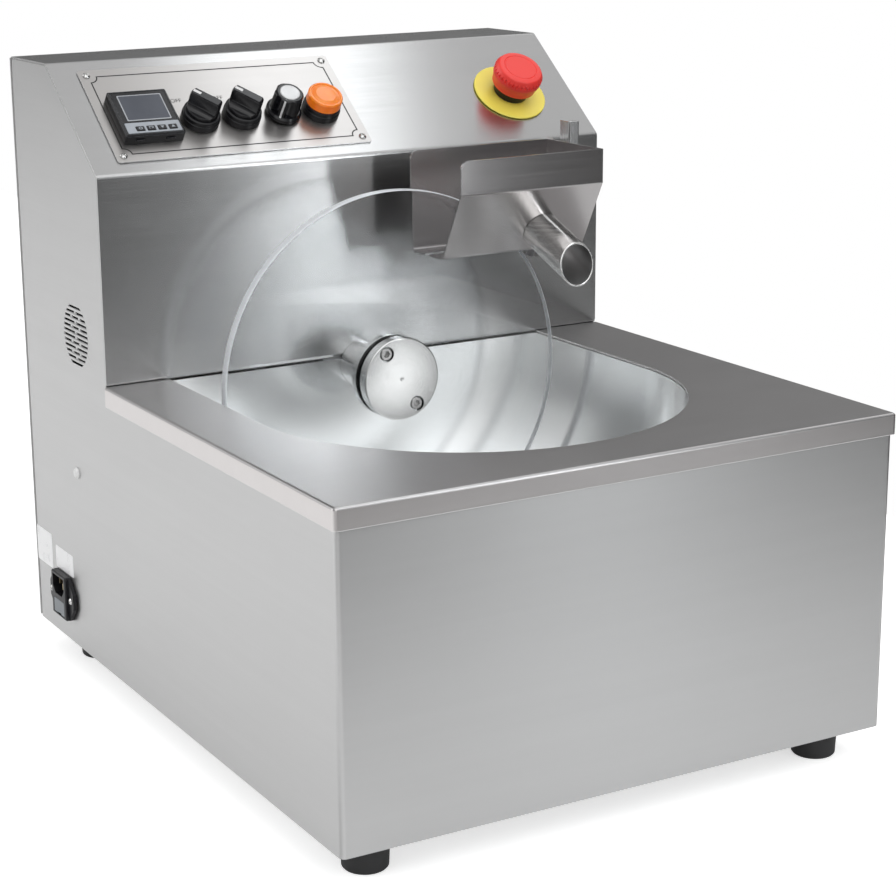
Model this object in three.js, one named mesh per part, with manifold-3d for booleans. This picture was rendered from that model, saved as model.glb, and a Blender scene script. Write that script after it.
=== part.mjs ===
// Continuous chocolate tempering machine: a stainless steel cabinet with a heated bowl, a clear
// disc that a gear motor turns in it, and a scraper trough whose spout pours the chocolate back.
// Millimetres, +Z up, the front faces -Y, the floor is z = 0.
import * as THREE from 'three';
import { mergeVertices } from 'three/addons/utils/BufferGeometryUtils.js';
import Module from 'manifold-3d';

const wasm = await Module();
wasm.setup();

// Sheet metal and gaps
const sheet = 1.5;
const bend = 2.5;
const seat = 0.3; // gap between touching pieces
const runningGap = 0.1;
const overrun = 4; // how far a cutting tool runs past what it cuts

// Cabinet
const bodyWidth = 430;
const bodyDepth = 530;
const bodyHeight = 480;
const footHeight = 24;
const deckHeight = 252;
const foldHeight = 406;
const towerWallDepth = 359; // from the front panel to the tower's wall
const towerTopDepth = 77;
const deckFlange = 15;
const deckProud = sheet + seat;
const returnWidth = 15;
const trayFlange = 14;
const rearLip = 14;
const left = -bodyWidth / 2;
const right = bodyWidth / 2;
const front = -bodyDepth / 2;
const rear = bodyDepth / 2;
const wallY = front + towerWallDepth;
const topFoldY = rear - towerTopDepth;
const slopeRun = topFoldY - wallY;
const slopeRise = bodyHeight - foldHeight;
const slopeAngle = Math.atan2(slopeRise, slopeRun);
const slopeLength = Math.hypot(slopeRun, slopeRise);
const bowlX = -5; // the bowl, disc and shaft lie a little left of the middle

// Feet
const footTopRadius = 16.5;
const footBottomRadius = 15.5;
const footEdge = 1.5;
const footStudRadius = 4;
const footStudLength = 9;
const footInsetX = 33;
const footInsetFront = 31;
const footInsetRear = 48;

// Side vent, rear vents and side screws
const ventRadius = 24.5;
const ventSetback = 58; // behind the tower's wall
const ventY = wallY + ventSetback;
const ventZ = 280;
const ventRows = 12;
const ventPitch = 3.9;
const ventSlot = 1.9;
const ventBridge = 3;
const ventShortSlot = 8;
const rearSlotLength = 62;
const rearSlotHeight = 3;
const rearSlotPitch = 9;
const rearSlotRows = 9;
const rearSlotZ = 96;
const rearSlotX = 88;

// Bowl
const bowlRadius = 160;
const bowlFrontCentre = 155; // from the tower wall forward to the centre of the round front
const bowlRim = 10;
const heaterThickness = 3;
const heaterHalfAngle = 52;
const heaterFront = 135;
const heaterRear = 12;
const probeRadius = 4;
const probeLength = 34;
const probeHexRadius = 7;
const probeHexHeight = 8;
const probeForward = 146;
const bowlY = wallY - bowlFrontCentre;

// Disc and its drive, measured forward of the tower wall
const axisDrop = 7; // from the deck down to the disc's axis
const axisZ = deckHeight - axisDrop;
const discClearance = 19; // from the disc's rim to the bowl
const discRadius = bowlRadius - discClearance;
const discThickness = 8;
const discMiddle = 54;
const discChamfer = 0.8;
const hubRadius = 31.5;
const hubFrontThickness = 8.7;
const hubRearThickness = 6.7;
const hubEdge = 0.8;
const gasketThickness = 0.8;
const gasketRadius = 29.5;
const spigotRadius = 15;
const neckRadius = 14;
const shaftRadius = 8;
const hubBoreDepth = 15;
const hubScrewCircle = 24;
const hubScrewAngle = 122;
const hubScrewHead = 5;
const hubScrewHeadHeight = 5;
const hubScrewShank = 3;
const hubScrewLength = 20;
const hubScrewHexKey = 2.5;
const hubScrewKeyDepth = 3;
const counterboreDepth = 5.5;
const counterboreRadius = 5.9;
const hubCentreMark = 2;
const sleeveRadius = 18;
const sleeveLength = 38.5;
const sleeveWay = 2.5; // between the shaft and the sleeve's bore
const sleeveBore = shaftRadius + sleeveWay;
const sealWidth = 5;
const sealRadius = shaftRadius + sealWidth;
const sealLength = 6;
const wallBoreRadius = sealRadius;
const bearingBlock = 64;
const bearingBlockDepth = 14;
const bearingWidth = 8;
const bearingRadius = shaftRadius + bearingWidth;
const bearingLength = 9;
const bearingShoulder = 3.5;
const bracketSize = 88;
const bracketWall = 5;
const bracketLength = 30;
const gearboxLength = 35;
const gearboxCorner = 9;
const gearboxShaftRadius = 6;
const gearboxShaftIn = 14;
const gearboxShaftOut = 14;
const motorRadius = 43;
const motorLength = 70;
const motorEdge = 4;
const motorBossRadius = 14;
const motorBossLength = 4;
const couplingRadius = 15;
const couplingLength = 25;
const couplingStart = 18; // behind the tower wall

// Hopper: a scraper trough whose two lips run along the disc's faces
const troughLeft = 30; // right of the disc's axis
const troughLength = 123.4;
const troughRise = 88.7; // above the disc's axis
const troughBottom = axisZ + troughRise;
const troughKinkRise = 50.8;
const troughHeight = 76.3;
const troughHalfWidth = 24;
const troughFlare = 27.6;
const lipGap = 0.7;
const troughCorner = 6;
const gutterDepth = 8;
const gutterHalfWidth = 12;
const gutterClearance = 2.4;
const spoutRadius = 14.4;
const spoutWall = 1.2;
const spoutRootX = 80;
const spoutRootRise = 16.8;
const spoutLength = 60;
const spoutDrop = 17;
const spoutYaw = 5;
const spoutCutTilt = 10;
const postWidth = 10;
const postDepth = 14;
const postHeight = 103;
const postChamfer = 1.2;
const postX = 185.5; // right of the disc's axis
const postStandOff = 5; // between the post and the tower wall
const postFootHeight = 9;
const postFootWidth = 17;
const postRise = 72; // above the disc's axis
const postFootBottom = axisZ + postRise;
const hangerGap = 0.4;
const hangerWall = 1.5;
const hangerHeight = 66;
const hangerArm = 3;
const hangerArmHeight = 40;
const hangerArmRise = 22;
const hangerPadLength = 34;

// Control panel, measured across from the middle and up the slope from the fold
const plateLeft = -194.5;
const plateRight = 14;
const plateBottom = 11.2;
const plateTop = 108;
const plateThickness = 1;
const plateCorner = 1.5;
const plateScrewInset = 6;
const plateScrewHole = 1.7;
const controlRow = 48;
const controllerX = -160.5;
const controllerY = 51.3;
const controllerBezel = 47;
const controllerProud = 9;
const controllerRim = 1.3;
const controllerBody = controllerBezel - 2 * controllerRim;
const controllerDepth = 72;
const controllerCorner = 1.2;
const windowMargin = 4.5;
const windowWidth = controllerBezel - 2 * windowMargin;
const windowHeight = 27;
const windowRise = 4.6; // window centre above the controller's centre
const windowDepth = 0.6;
const keyWidth = 6.4;
const keyHeight = 4.6;
const keyPitch = 8.6;
const keyDrop = 17; // key row below the controller's centre
const keyOffset = 2.2;
const keyDepth = 2.2;
const keyProud = 0.7;
const keyPocket = 2.4;
const keyGap = 0.15;
const collarRadius = 14.8;
const collarHeight = 8.5;
const collarEdge = 1;
const barrelRadius = 11;
const barrelDepth = 14;
const contactWidth = 28;
const contactHeight = 30;
const contactDepth = 26;
const heaterSwitchX = -116.5;
const motorSwitchX = -82.5;
const speedKnobX = -47.5;
const pilotLampX = -15.5;
const handleRadius = 12.4;
const handleDisc = 3.4;
const handleHeight = 16.5;
const handleWidth = 8;
const handleStem = 4;
const handleStemDepth = 6;
const restTurn = 45; // the switch handles point up and left at rest
const potRadius = 12;
const potDepth = 11;
const potBushRadius = 4.6;
const potBushHeight = 6;
const potSpindleRadius = 3;
const potSpindleHeight = 15;
const knobRadius = 11.6;
const knobSkirtRadius = 13.8;
const knobSkirtHeight = 4;
const knobHeight = 20;
const knobLift = 1.2;
const knobFlutes = 12;
const knobFluteRadius = 1.9;
const knobCapRadius = 8;
const knobCapRise = 0.5;
const knobCavityRadius = 8.6;
const knobCavityDepth = 8;
const knobRest = 141; // degrees from straight up, at the low end of the scale
const lensRadius = 13.6;
const lensHeight = 8.5;
const lensEdge = 1.2;
const lensSpigot = 9;
const lensSpigotDepth = 4;
const stopX = 157.5;
const stopY = 52;
const stopRingRadius = 30;
const stopRingThickness = 1.6;
const stopCollarRadius = 14;
const stopCollarHeight = 9.5;
const stopBarrelDepth = 12;
const stopStemRadius = 6;
const stopStemDepth = 12;
const stopStemTop = 25;
const stopHeadBottom = 10.5;
const stopHeadTop = 28;
const stopHeadRadius = 20;
const stopSkirtRadius = 17.6;
const stopSkirtInner = 15.4;
const stopHollow = 7.5;
const stopShoulder = 17.4;

// Power inlet in the left side
const inletSetback = 61; // ahead of the rear
const inletY = rear - inletSetback;
const inletZ = 60;
const inletBlock = 30;
const inletHeight = 36;
const inletEarSpan = 50;
const inletEarHeight = 12;
const inletEarThickness = 3;
const inletProud = 6;
const inletBody = 27;
const inletBodyHeight = 32;
const inletBodyDepth = 20;
const socketWidth = 23.5;
const socketHeight = 15.5;
const socketChamfer = 5;
const socketDepth = 15;
const socketRise = 8;
const pinWidth = 1.8;
const pinHeight = 5;
const pinLength = 11;
const pinPitch = 7;
const drawerWidth = 22;
const drawerHeight = 12;
const drawerDrop = 10;
const drawerDepth = 19;
const drawerGap = 0.25;
const drawerNotch = 1.2;

// Cooling fan behind the side vent
const fanSize = 60;
const fanDepth = 15;
const fanBoreRadius = 27.5;
const fanHubRadius = 12.5;
const fanStrutWidth = 4;
const fanStrutDepth = 2.5;
const fanBlades = 7;
const fanBladeThickness = 1.2;
const fanBladePitch = 38;
const fanTipGap = 1;
const fanPinRadius = 1.5;
const fanHubGap = 0.6;
const fanPlate = 3;

// Electrics plate in the tower
const chassisX = 150;
const chassisSetback = 26; // behind the tower's wall
const chassisFront = wallY + chassisSetback;
const chassisDepth = 130;
const chassisHeight = 190;
const chassisThickness = 2;
const chassisFoot = 26;
const boardLength = 84;
const boardHeight = 62;
const boardThickness = 2;
const boardStandOff = 6;
const boardStandRadius = 3;
const boardHoleInset = 6;
const boardSink = 22;
const boardSinkHeight = 40;
const boardCapRadius = 8;
const boardCapHeight = 20;
const boardZ = 150;
const relayLength = 58;
const relayHeight = 45;
const relayDepth = 27;
const relayRecess = 8;
const relayEar = 12;
const relayZ = 84;
const terminalLength = 60;
const terminalHeight = 18;
const terminalDepth = 16;
const terminalPitch = 10;
const terminalHole = 3;
const terminalZ = 44;

// Facets
const roundSides = 32;
const smallSides = 16;
const discSides = 72;
const bowlSides = 48;
const bowlSteps = 10;
const bendSteps = 3;

// Finishes: colour, roughness, metalness
const brushed = [0xa9a8a6, 0.38, 1];
const polished = [0xc9cbcb, 0.16, 1];
const machined = [0xd2d3d2, 0.28, 1];
const clear = [0xe6eef2, 0.05, 0];
const blackPlastic = [0x17181b, 0.42, 0];
const greyPlastic = [0x6f7480, 0.5, 0];
const rubber = [0x1b1b1c, 0.75, 0];
const castGrey = [0x8d9094, 0.5, 0.6];
const redPlastic = [0xf2463f, 0.4, 0];
const yellowPlastic = [0xf6e04a, 0.45, 0];
const orangeLens = [0xff8a24, 0.25, 0];
const silicone = [0xb5482c, 0.7, 0];
const board = [0x2d6b45, 0.6, 0];

const degrees = Math.PI / 180;

// A closed three.js geometry as a solid that faces out.
function solidOf(geometry) {
  geometry.deleteAttribute('normal');
  geometry.deleteAttribute('uv');
  const welded = mergeVertices(geometry);
  const triVerts = new Uint32Array(welded.index.array);
  const vertProperties = welded.attributes.position.array;
  const made = new wasm.Manifold(new wasm.Mesh({ numProp: 3, vertProperties, triVerts }));
  if (made.volume() > 0) return made;
  triVerts.reverse();
  return new wasm.Manifold(new wasm.Mesh({ numProp: 3, vertProperties, triVerts }));
}

function union(...solids) {
  return solids.reduce((sum, next) => sum.add(next));
}

// A box between two opposite corners.
function box([x0, y0, z0], [x1, y1, z1]) {
  const geometry = new THREE.BoxGeometry(x1 - x0, y1 - y0, z1 - z0);
  geometry.translate((x0 + x1) / 2, (y0 + y1) / 2, (z0 + z1) / 2);
  return solidOf(geometry);
}

// A box by its centre in x and y, and its lowest and highest z.
function post(x, y, width, depth, z0, z1) {
  return box([x - width / 2, y - depth / 2, z0], [x + width / 2, y + depth / 2, z1]);
}

// A disc or rod along z.
function rod(radius, z0, z1, sides = roundSides, x = 0, y = 0) {
  const geometry = new THREE.CylinderGeometry(radius, radius, z1 - z0, sides);
  geometry.rotateX(Math.PI / 2);
  geometry.translate(x, y, (z0 + z1) / 2);
  return solidOf(geometry);
}

// A ring along z.
function ring(outer, inner, z0, z1, sides = roundSides) {
  return rod(outer, z0, z1, sides).subtract(rod(inner, z0 - overrun, z1 + overrun, sides));
}

// A profile of radius and height pairs, turned round z.
function turned(profile, sides = roundSides) {
  const geometry = new THREE.LatheGeometry(profile.map(([r, z]) => new THREE.Vector2(r, z)), sides);
  geometry.rotateX(Math.PI / 2);
  return solidOf(geometry);
}

function shapeOf(points) {
  return new THREE.Shape(points.map(([u, v]) => new THREE.Vector2(u, v)));
}

// An outline in x and y, drawn out along z.
function prismZ(points, z0, z1) {
  const options = { depth: z1 - z0, bevelEnabled: false };
  const geometry = new THREE.ExtrudeGeometry(shapeOf(points), options);
  geometry.translate(0, 0, z0);
  return solidOf(geometry);
}

// An outline in y and z, drawn out along x.
function prismX(points, x0, x1) {
  const turn = new THREE.Matrix4().set(0, 0, 1, 0, 1, 0, 0, 0, 0, 1, 0, 0, 0, 0, 0, 1);
  return placed(prismZ(points, x0, x1), turn);
}

// An outline in x and z, drawn out along y.
function prismY(points, y0, y1) {
  const turn = new THREE.Matrix4().set(1, 0, 0, 0, 0, 0, -1, 0, 0, 1, 0, 0, 0, 0, 0, 1);
  return placed(prismZ(points, -y1, -y0), turn);
}

function placed(solid, matrix) {
  return solid.transform(matrix.elements);
}

// The closed outline of a folded sheet, from the corners of one of its faces. The sheet lies to
// the left of the way the corners run, and each fold is an arc.
function folded(corners, thickness = sheet, inner = bend) {
  const middle = offsetPath(corners, thickness / 2);
  const path = [];
  middle.forEach((corner, i) => {
    if (i === 0 || i === middle.length - 1) {
      const [from, to] = i === 0 ? [middle[0], middle[1]] : [middle[i - 1], middle[i]];
      path.push({ at: corner, normal: leftOf(from, to) });
      return;
    }
    path.push(...foldArc(middle[i - 1], corner, middle[i + 1], inner + thickness / 2));
  });
  const side = (sign) => path.map(({ at, normal }) => [
    at[0] + (sign * normal[0] * thickness) / 2,
    at[1] + (sign * normal[1] * thickness) / 2,
  ]);
  return [...side(-1), ...side(1).reverse()];
}

function leftOf(from, to) {
  const run = Math.hypot(to[0] - from[0], to[1] - from[1]);
  return [-(to[1] - from[1]) / run, (to[0] - from[0]) / run];
}

// A path moved to its left by a distance, with mitred corners.
function offsetPath(corners, distance) {
  return corners.map((corner, i) => {
    const before = i > 0 ? leftOf(corners[i - 1], corner) : leftOf(corner, corners[1]);
    const after = i < corners.length - 1 ? leftOf(corner, corners[i + 1]) : before;
    const sum = [before[0] + after[0], before[1] + after[1]];
    const scale = (2 * distance) / (sum[0] ** 2 + sum[1] ** 2);
    return [corner[0] + sum[0] * scale, corner[1] + sum[1] * scale];
  });
}

// Points and normals of the arc that rounds one corner of a path.
function foldArc(before, corner, after, radius) {
  const inwards = leftOf(before, corner);
  const outwards = leftOf(corner, after);
  const cross = inwards[0] * outwards[1] - inwards[1] * outwards[0];
  const turn = Math.sign(cross);
  const angle = Math.acos(Math.min(1, inwards[0] * outwards[0] + inwards[1] * outwards[1]));
  const reach = radius * Math.tan(angle / 2);
  const along = [inwards[1], -inwards[0]];
  const start = [corner[0] - along[0] * reach, corner[1] - along[1] * reach];
  const centre = [start[0] + turn * inwards[0] * radius, start[1] + turn * inwards[1] * radius];
  return Array.from({ length: bendSteps + 1 }, (_, k) => {
    const by = (turn * angle * k) / bendSteps;
    const normal = [
      inwards[0] * Math.cos(by) - inwards[1] * Math.sin(by),
      inwards[0] * Math.sin(by) + inwards[1] * Math.cos(by),
    ];
    const at = [
      centre[0] - turn * normal[0] * radius,
      centre[1] - turn * normal[1] * radius,
    ];
    return { at, normal };
  });
}

// A rectangle with cut corners.
function chamfered(width, height, cut, x = 0, y = 0) {
  const [w, h] = [width / 2, height / 2];
  const corners = [
    [cut - w, -h], [w - cut, -h], [w, cut - h], [w, h - cut],
    [w - cut, h], [cut - w, h], [-w, h - cut], [-w, cut - h],
  ];
  return corners.map(([u, v]) => [x + u, y + v]);
}

function meshOf(name, solid, [color, roughness, metalness]) {
  const { vertProperties, triVerts } = solid.getMesh();
  const geometry = new THREE.BufferGeometry();
  geometry.setAttribute('position', new THREE.BufferAttribute(vertProperties, 3));
  geometry.setIndex(new THREE.BufferAttribute(triVerts, 1));
  geometry.computeVertexNormals();
  const material = new THREE.MeshStandardMaterial({ color, roughness, metalness });
  const mesh = new THREE.Mesh(geometry, material);
  mesh.name = name;
  return mesh;
}

// The frame of the drive: on the disc's axis at the tower wall, z running to the rear.
function driveGroup() {
  const group = new THREE.Group();
  group.position.set(bowlX, wallY, axisZ);
  group.rotation.x = -Math.PI / 2;
  return group;
}

// The frame of the control panel: on the fold, x across, y up the slope, z out of it.
function panelGroup() {
  const group = new THREE.Group();
  group.position.set(0, wallY, foldHeight);
  group.rotation.x = slopeAngle;
  return group;
}

// The frame of the left side: x to the front, y up, z out of the side.
function sideGroup() {
  const group = new THREE.Group();
  group.position.set(left, 0, 0);
  group.rotation.set(Math.PI / 2, 0, 0);
  group.rotateOnWorldAxis(new THREE.Vector3(0, 0, 1), -Math.PI / 2);
  return group;
}

function matrixOf(group) {
  group.updateMatrix();
  return group.matrix.clone();
}

const onDrive = matrixOf(driveGroup());
const onPanel = matrixOf(panelGroup());
const onSide = matrixOf(sideGroup());

// Cabinet

// What the side panels may fill: below the deck, and behind the tower's folded sheet.
function sideOutline() {
  const skin = [
    [wallY, deckHeight - sheet - seat], [wallY, foldHeight],
    [topFoldY, bodyHeight], [rear + overrun, bodyHeight],
  ];
  const under = offsetPath(skin, -(sheet + seat));
  const fold = (i) => foldArc(under[i - 1], under[i], under[i + 1], bend - seat)
    .map(({ at }) => at).reverse();
  return [
    [front - overrun, footHeight], [rear + overrun, footHeight], under[3], ...fold(2), ...fold(1),
    [under[0][0], skin[0][1]], [front - overrun, skin[0][1]],
  ];
}

function ventSlots() {
  const rows = Array.from({ length: ventRows }, (_, i) => {
    const place = i - (ventRows - 1) / 2;
    const row = Math.floor(Math.abs(place));
    const y = ventZ + place * ventPitch;
    const strip = post(-ventY, y, 2 * ventRadius, ventSlot, -overrun, overrun);
    const inner = row % 2 === 0 ? [0] : [-ventShortSlot, ventShortSlot];
    const bridges = row < ventRows / 2 - 1 ? inner : [];
    return bridges.reduce((slots, at) => slots.subtract(
      post(at - ventY, y, ventBridge, ventPitch, -2 * overrun, 2 * overrun),
    ), strip);
  });
  return union(...rows).intersect(rod(ventRadius, -overrun, overrun, roundSides, -ventY, ventZ));
}

function cabinetWrap() {
  const plan = folded([
    [right - returnWidth, rear], [right, rear], [right, front],
    [left, front], [left, rear], [left + returnWidth, rear],
  ].reverse());
  const inlet = post(
    -inletY, inletZ, inletBody + 2 * seat, inletBodyHeight + 2 * seat, -overrun, overrun,
  );
  const cuts = placed(union(ventSlots(), inlet), onSide);
  const lip = box(
    [left + sheet + seat, rear - bend - sheet - seat, bodyHeight - rearLip - seat],
    [right - sheet - seat, rear + overrun, bodyHeight],
  );
  return prismZ(plan, footHeight, bodyHeight)
    .intersect(prismX(sideOutline(), left - overrun, right + overrun))
    .subtract(cuts).subtract(lip);
}

function baseTray() {
  const inset = sheet + seat;
  const corner = bend + seat;
  const plan = (by) => chamfered(bodyWidth - 2 * by, bodyDepth - 2 * by, corner);
  const tray = prismZ(plan(inset), footHeight, footHeight + trayFlange);
  const inside = prismZ(plan(inset + sheet), footHeight + sheet, footHeight + trayFlange + overrun);
  const studs = footPlaces().map(([x, y]) => rod(
    footStudRadius + seat, footHeight - overrun, footHeight + overrun, smallSides, x, y,
  ));
  return tray.subtract(inside).subtract(union(...studs));
}

function towerSheet() {
  const skin = folded([
    [rear, bodyHeight - rearLip], [rear, bodyHeight], [topFoldY, bodyHeight],
    [wallY, foldHeight], [wallY, deckHeight - sheet], [wallY + returnWidth, deckHeight - sheet],
  ]);
  const bore = placed(rod(wallBoreRadius + seat, -overrun, returnWidth, smallSides), onDrive);
  const lipEnd = right - sheet - 2 * seat;
  const ends = [-1, 1].map((side) => {
    const [x0, x1] = side > 0 ? [lipEnd, right + overrun] : [left - overrun, -lipEnd];
    const low = box(
      [x0, wallY + sheet, footHeight], [x1, wallY + 2 * returnWidth, deckHeight + 2 * bend],
    );
    return low.add(box([x0, topFoldY, deckHeight], [x1, rear + overrun, bodyHeight - sheet]));
  });
  const notch = bearingBlock / 2 + seat;
  const housing = box(
    [bowlX - notch, wallY + sheet, footHeight],
    [bowlX + notch, wallY + 2 * returnWidth, deckHeight + bearingBlock],
  );
  return prismX(skin, left, right).subtract(union(bore, ...ends, housing))
    .subtract(placed(panelHoles(false), onPanel));
}

function deckLid() {
  const plan = (by, y1) => prismZ([
    [left - deckProud + by, y1], [left - deckProud + by, front - deckProud + by + bend],
    [left - deckProud + by + bend, front - deckProud + by],
    [right + deckProud - by - bend, front - deckProud + by],
    [right + deckProud - by, front - deckProud + by + bend], [right + deckProud - by, y1],
  ], deckHeight - deckFlange, deckHeight);
  const rearEdge = wallY - seat;
  const hollow = plan(sheet, rearEdge + overrun).translate([0, 0, -sheet]);
  const opening = bowlSpace(bowlRadius, rearEdge + overrun);
  return plan(0, rearEdge).subtract(hollow).subtract(opening);
}

function rearCover() {
  const [width, bottom] = [bodyWidth - 2 * seat, footHeight + 2 * seat];
  const thickness = sheet;
  const y0 = rear + seat;
  const sheetSolid = box(
    [-width / 2, y0, bottom], [width / 2, y0 + thickness, bodyHeight - sheet],
  );
  const slots = [];
  for (const side of [-1, 1]) {
    for (let row = 0; row < rearSlotRows; row += 1) {
      const [x, z] = [side * rearSlotX, rearSlotZ + row * rearSlotPitch];
      slots.push(box(
        [x - rearSlotLength / 2, y0 - overrun, z - rearSlotHeight / 2],
        [x + rearSlotLength / 2, y0 + overrun, z + rearSlotHeight / 2],
      ));
    }
  }
  return sheetSolid.subtract(union(...slots));
}

function footPlaces() {
  return [
    [left + footInsetX, front + footInsetFront], [right - footInsetX, front + footInsetFront],
    [left + footInsetX, rear - footInsetRear], [right - footInsetX, rear - footInsetRear],
  ];
}

function foot() {
  const top = footHeight - seat;
  return turned([
    [0, 0], [footBottomRadius - footEdge, 0], [footBottomRadius, footEdge], [footTopRadius, top],
    [footStudRadius, top], [footStudRadius, top + footStudLength], [0, top + footStudLength],
  ], smallSides);
}

// Bowl

// The space inside the bowl: round at the front, straight to the rear, over all heights.
function bowlSpace(radius, y1) {
  const depth = deckHeight;
  const round = rod(radius, depth / 2, 2 * depth, bowlSides, bowlX, bowlY);
  const straight = box([bowlX - radius, bowlY, depth / 2], [bowlX + radius, y1, 2 * depth]);
  return round.add(straight);
}

// A round-nosed body that lies along y: a quarter of it is the bowl's shell.
function nose(radius, y1) {
  const arc = Array.from({ length: bowlSteps + 1 }, (_, k) => {
    const angle = (k / bowlSteps) * (Math.PI / 2);
    return [k === 0 ? 0 : radius * Math.sin(angle), -radius * Math.cos(angle)];
  });
  const solid = turned([...arc, [radius, y1 - bowlY], [0, y1 - bowlY]], bowlSides);
  const lie = new THREE.Matrix4().makeRotationX(-Math.PI / 2).setPosition(bowlX, bowlY, deckHeight);
  return placed(solid, lie);
}

function bowl() {
  const top = deckHeight - sheet - seat;
  const keep = box(
    [left, front, footHeight], [right, wallY + sheet + overrun, top],
  );
  const shell = nose(bowlRadius + sheet, wallY + sheet).intersect(keep);
  const rim = bowlSpace(bowlRadius + bowlRim, wallY)
    .intersect(box([left, front, top - sheet], [right, wallY - seat, top]));
  const bore = placed(rod(wallBoreRadius + seat, -overrun, overrun, smallSides), onDrive);
  return shell.add(rim).subtract(nose(bowlRadius, wallY)).subtract(bore);
}

function bowlHeater() {
  const inner = bowlRadius + sheet + seat;
  const outer = inner + heaterThickness;
  const arc = (radius, turn) => Array.from({ length: smallSides + 1 }, (_, k) => {
    const angle = -Math.PI / 2 + turn * heaterHalfAngle * degrees * (2 * (k / smallSides) - 1);
    return [bowlX + radius * Math.cos(angle), deckHeight + radius * Math.sin(angle)];
  });
  return prismY([...arc(outer, 1), ...arc(inner, -1)], wallY - heaterFront, wallY - heaterRear);
}

function temperatureProbe() {
  const top = deckHeight - bowlRadius - sheet - seat;
  const [x, y] = [bowlX, wallY - probeForward];
  const hex = rod(probeHexRadius, top - probeHexHeight - overrun, top - overrun, 6, x, y);
  return rod(probeRadius, top - probeLength, top, smallSides, x, y).add(hex);
}

// Drive, in its own frame

const discFront = -discMiddle - discThickness / 2;
const discRear = -discMiddle + discThickness / 2;
const hubFace = discFront - seat - gasketThickness - seat - hubFrontThickness;
const hubRearFace = discRear + seat + hubRearThickness;
const sleeveFront = -sleeveLength - seat;
const bearingFront = sheet + seat;
const bracketFront = bearingFront + bearingBlockDepth + seat;
const gearboxFront = bracketFront + bracketLength + seat;

function screwPlaces() {
  return [hubScrewAngle, hubScrewAngle + 180].map((angle) => [
    hubScrewCircle * Math.cos(angle * degrees), -hubScrewCircle * Math.sin(angle * degrees),
  ]);
}

function screwHoles(radius, z0, z1) {
  return union(...screwPlaces().map(([x, y]) => rod(radius, z0, z1, smallSides, x, y)));
}

function disc() {
  const solid = turned([
    [0, discFront], [discRadius - discChamfer, discFront], [discRadius, discFront + discChamfer],
    [discRadius, discRear - discChamfer], [discRadius - discChamfer, discRear], [0, discRear],
  ], discSides);
  const bore = rod(spigotRadius + seat, discFront - overrun, discRear + overrun);
  const holes = screwHoles(hubScrewShank + seat, discFront - overrun, discRear + overrun);
  return solid.subtract(bore).subtract(holes);
}

function hubFront() {
  const back = hubFace + hubFrontThickness;
  const solid = turned([
    [0, hubFace], [hubRadius - hubEdge, hubFace], [hubRadius, hubFace + hubEdge],
    [hubRadius, back], [0, back],
  ]);
  const bores = screwHoles(counterboreRadius, hubFace - overrun, hubFace + counterboreDepth);
  const holes = screwHoles(hubScrewShank + seat, hubFace, back + overrun);
  const mark = rod(hubCentreMark, hubFace - overrun, hubFace + hubEdge, smallSides);
  return solid.subtract(bores).subtract(holes).subtract(mark);
}

function hubGasket() {
  const z1 = discFront - seat;
  const holes = screwHoles(hubScrewShank + seat, z1 - gasketThickness - overrun, z1 + overrun);
  return ring(gasketRadius, spigotRadius, z1 - gasketThickness, z1).subtract(holes);
}

function hubRear() {
  const flangeFront = discRear + seat;
  const neckEnd = sleeveFront - seat;
  const solid = turned([
    [0, discFront], [spigotRadius, discFront], [spigotRadius, flangeFront],
    [hubRadius, flangeFront], [hubRadius, hubRearFace - hubEdge],
    [hubRadius - hubEdge, hubRearFace], [neckRadius, hubRearFace],
    [neckRadius, neckEnd], [0, neckEnd],
  ]);
  const bore = rod(shaftRadius + runningGap, neckEnd - hubBoreDepth, neckEnd + overrun);
  const threads = screwHoles(hubScrewShank + runningGap, discFront - overrun, hubRearFace + overrun);
  return solid.subtract(bore).subtract(threads);
}

function hubScrew() {
  const headFront = hubFace + counterboreDepth - hubScrewHeadHeight - runningGap;
  const headBack = headFront + hubScrewHeadHeight;
  const head = rod(hubScrewHead, headFront, headBack, smallSides);
  const shank = rod(hubScrewShank, headBack - hubEdge, headBack + hubScrewLength, smallSides);
  const key = rod(hubScrewHexKey, headFront - overrun, headFront + hubScrewKeyDepth, 6);
  return head.add(shank).subtract(key);
}

function driveShaft() {
  const z0 = sleeveFront - seat - hubBoreDepth + seat;
  return rod(shaftRadius, z0, couplingStart + couplingLength / 2 - seat);
}

function shaftSleeve() {
  const z0 = sleeveFront;
  const z1 = -seat;
  const solid = ring(sleeveRadius, sleeveBore, z0, z1);
  const sealSeat = rod(sealRadius + seat, z0 - overrun, z0 + sealLength + seat);
  return solid.subtract(sealSeat);
}

function shaftSeal() {
  return ring(sealRadius, shaftRadius + runningGap, sleeveFront, sleeveFront + sealLength);
}

function bearingHousing() {
  const z1 = bearingFront + bearingBlockDepth;
  const plan = chamfered(bearingBlock, bearingBlock, gearboxCorner);
  const bore = rod(bearingRadius + seat, bearingFront + bearingShoulder, z1 + overrun);
  const way = rod(sleeveBore, bearingFront - overrun, z1);
  return prismZ(plan, bearingFront, z1).subtract(bore).subtract(way);
}

function shaftBearing() {
  const z0 = bearingFront + bearingShoulder + seat;
  return ring(bearingRadius, shaftRadius + runningGap, z0, z0 + bearingLength);
}

function motorBracket() {
  const z1 = bracketFront + bracketLength;
  const inside = bracketSize - 2 * bracketWall;
  return prismZ(chamfered(bracketSize, bracketSize, gearboxCorner), bracketFront, z1)
    .subtract(prismZ(chamfered(inside, inside, gearboxCorner), bracketFront - overrun, z1 + overrun));
}

function shaftCoupling() {
  const middle = couplingStart + couplingLength / 2;
  const end = couplingStart + couplingLength;
  return rod(couplingRadius, couplingStart, end)
    .subtract(rod(shaftRadius + runningGap, couplingStart - overrun, middle))
    .subtract(rod(gearboxShaftRadius + runningGap, middle, end + overrun));
}

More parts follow.
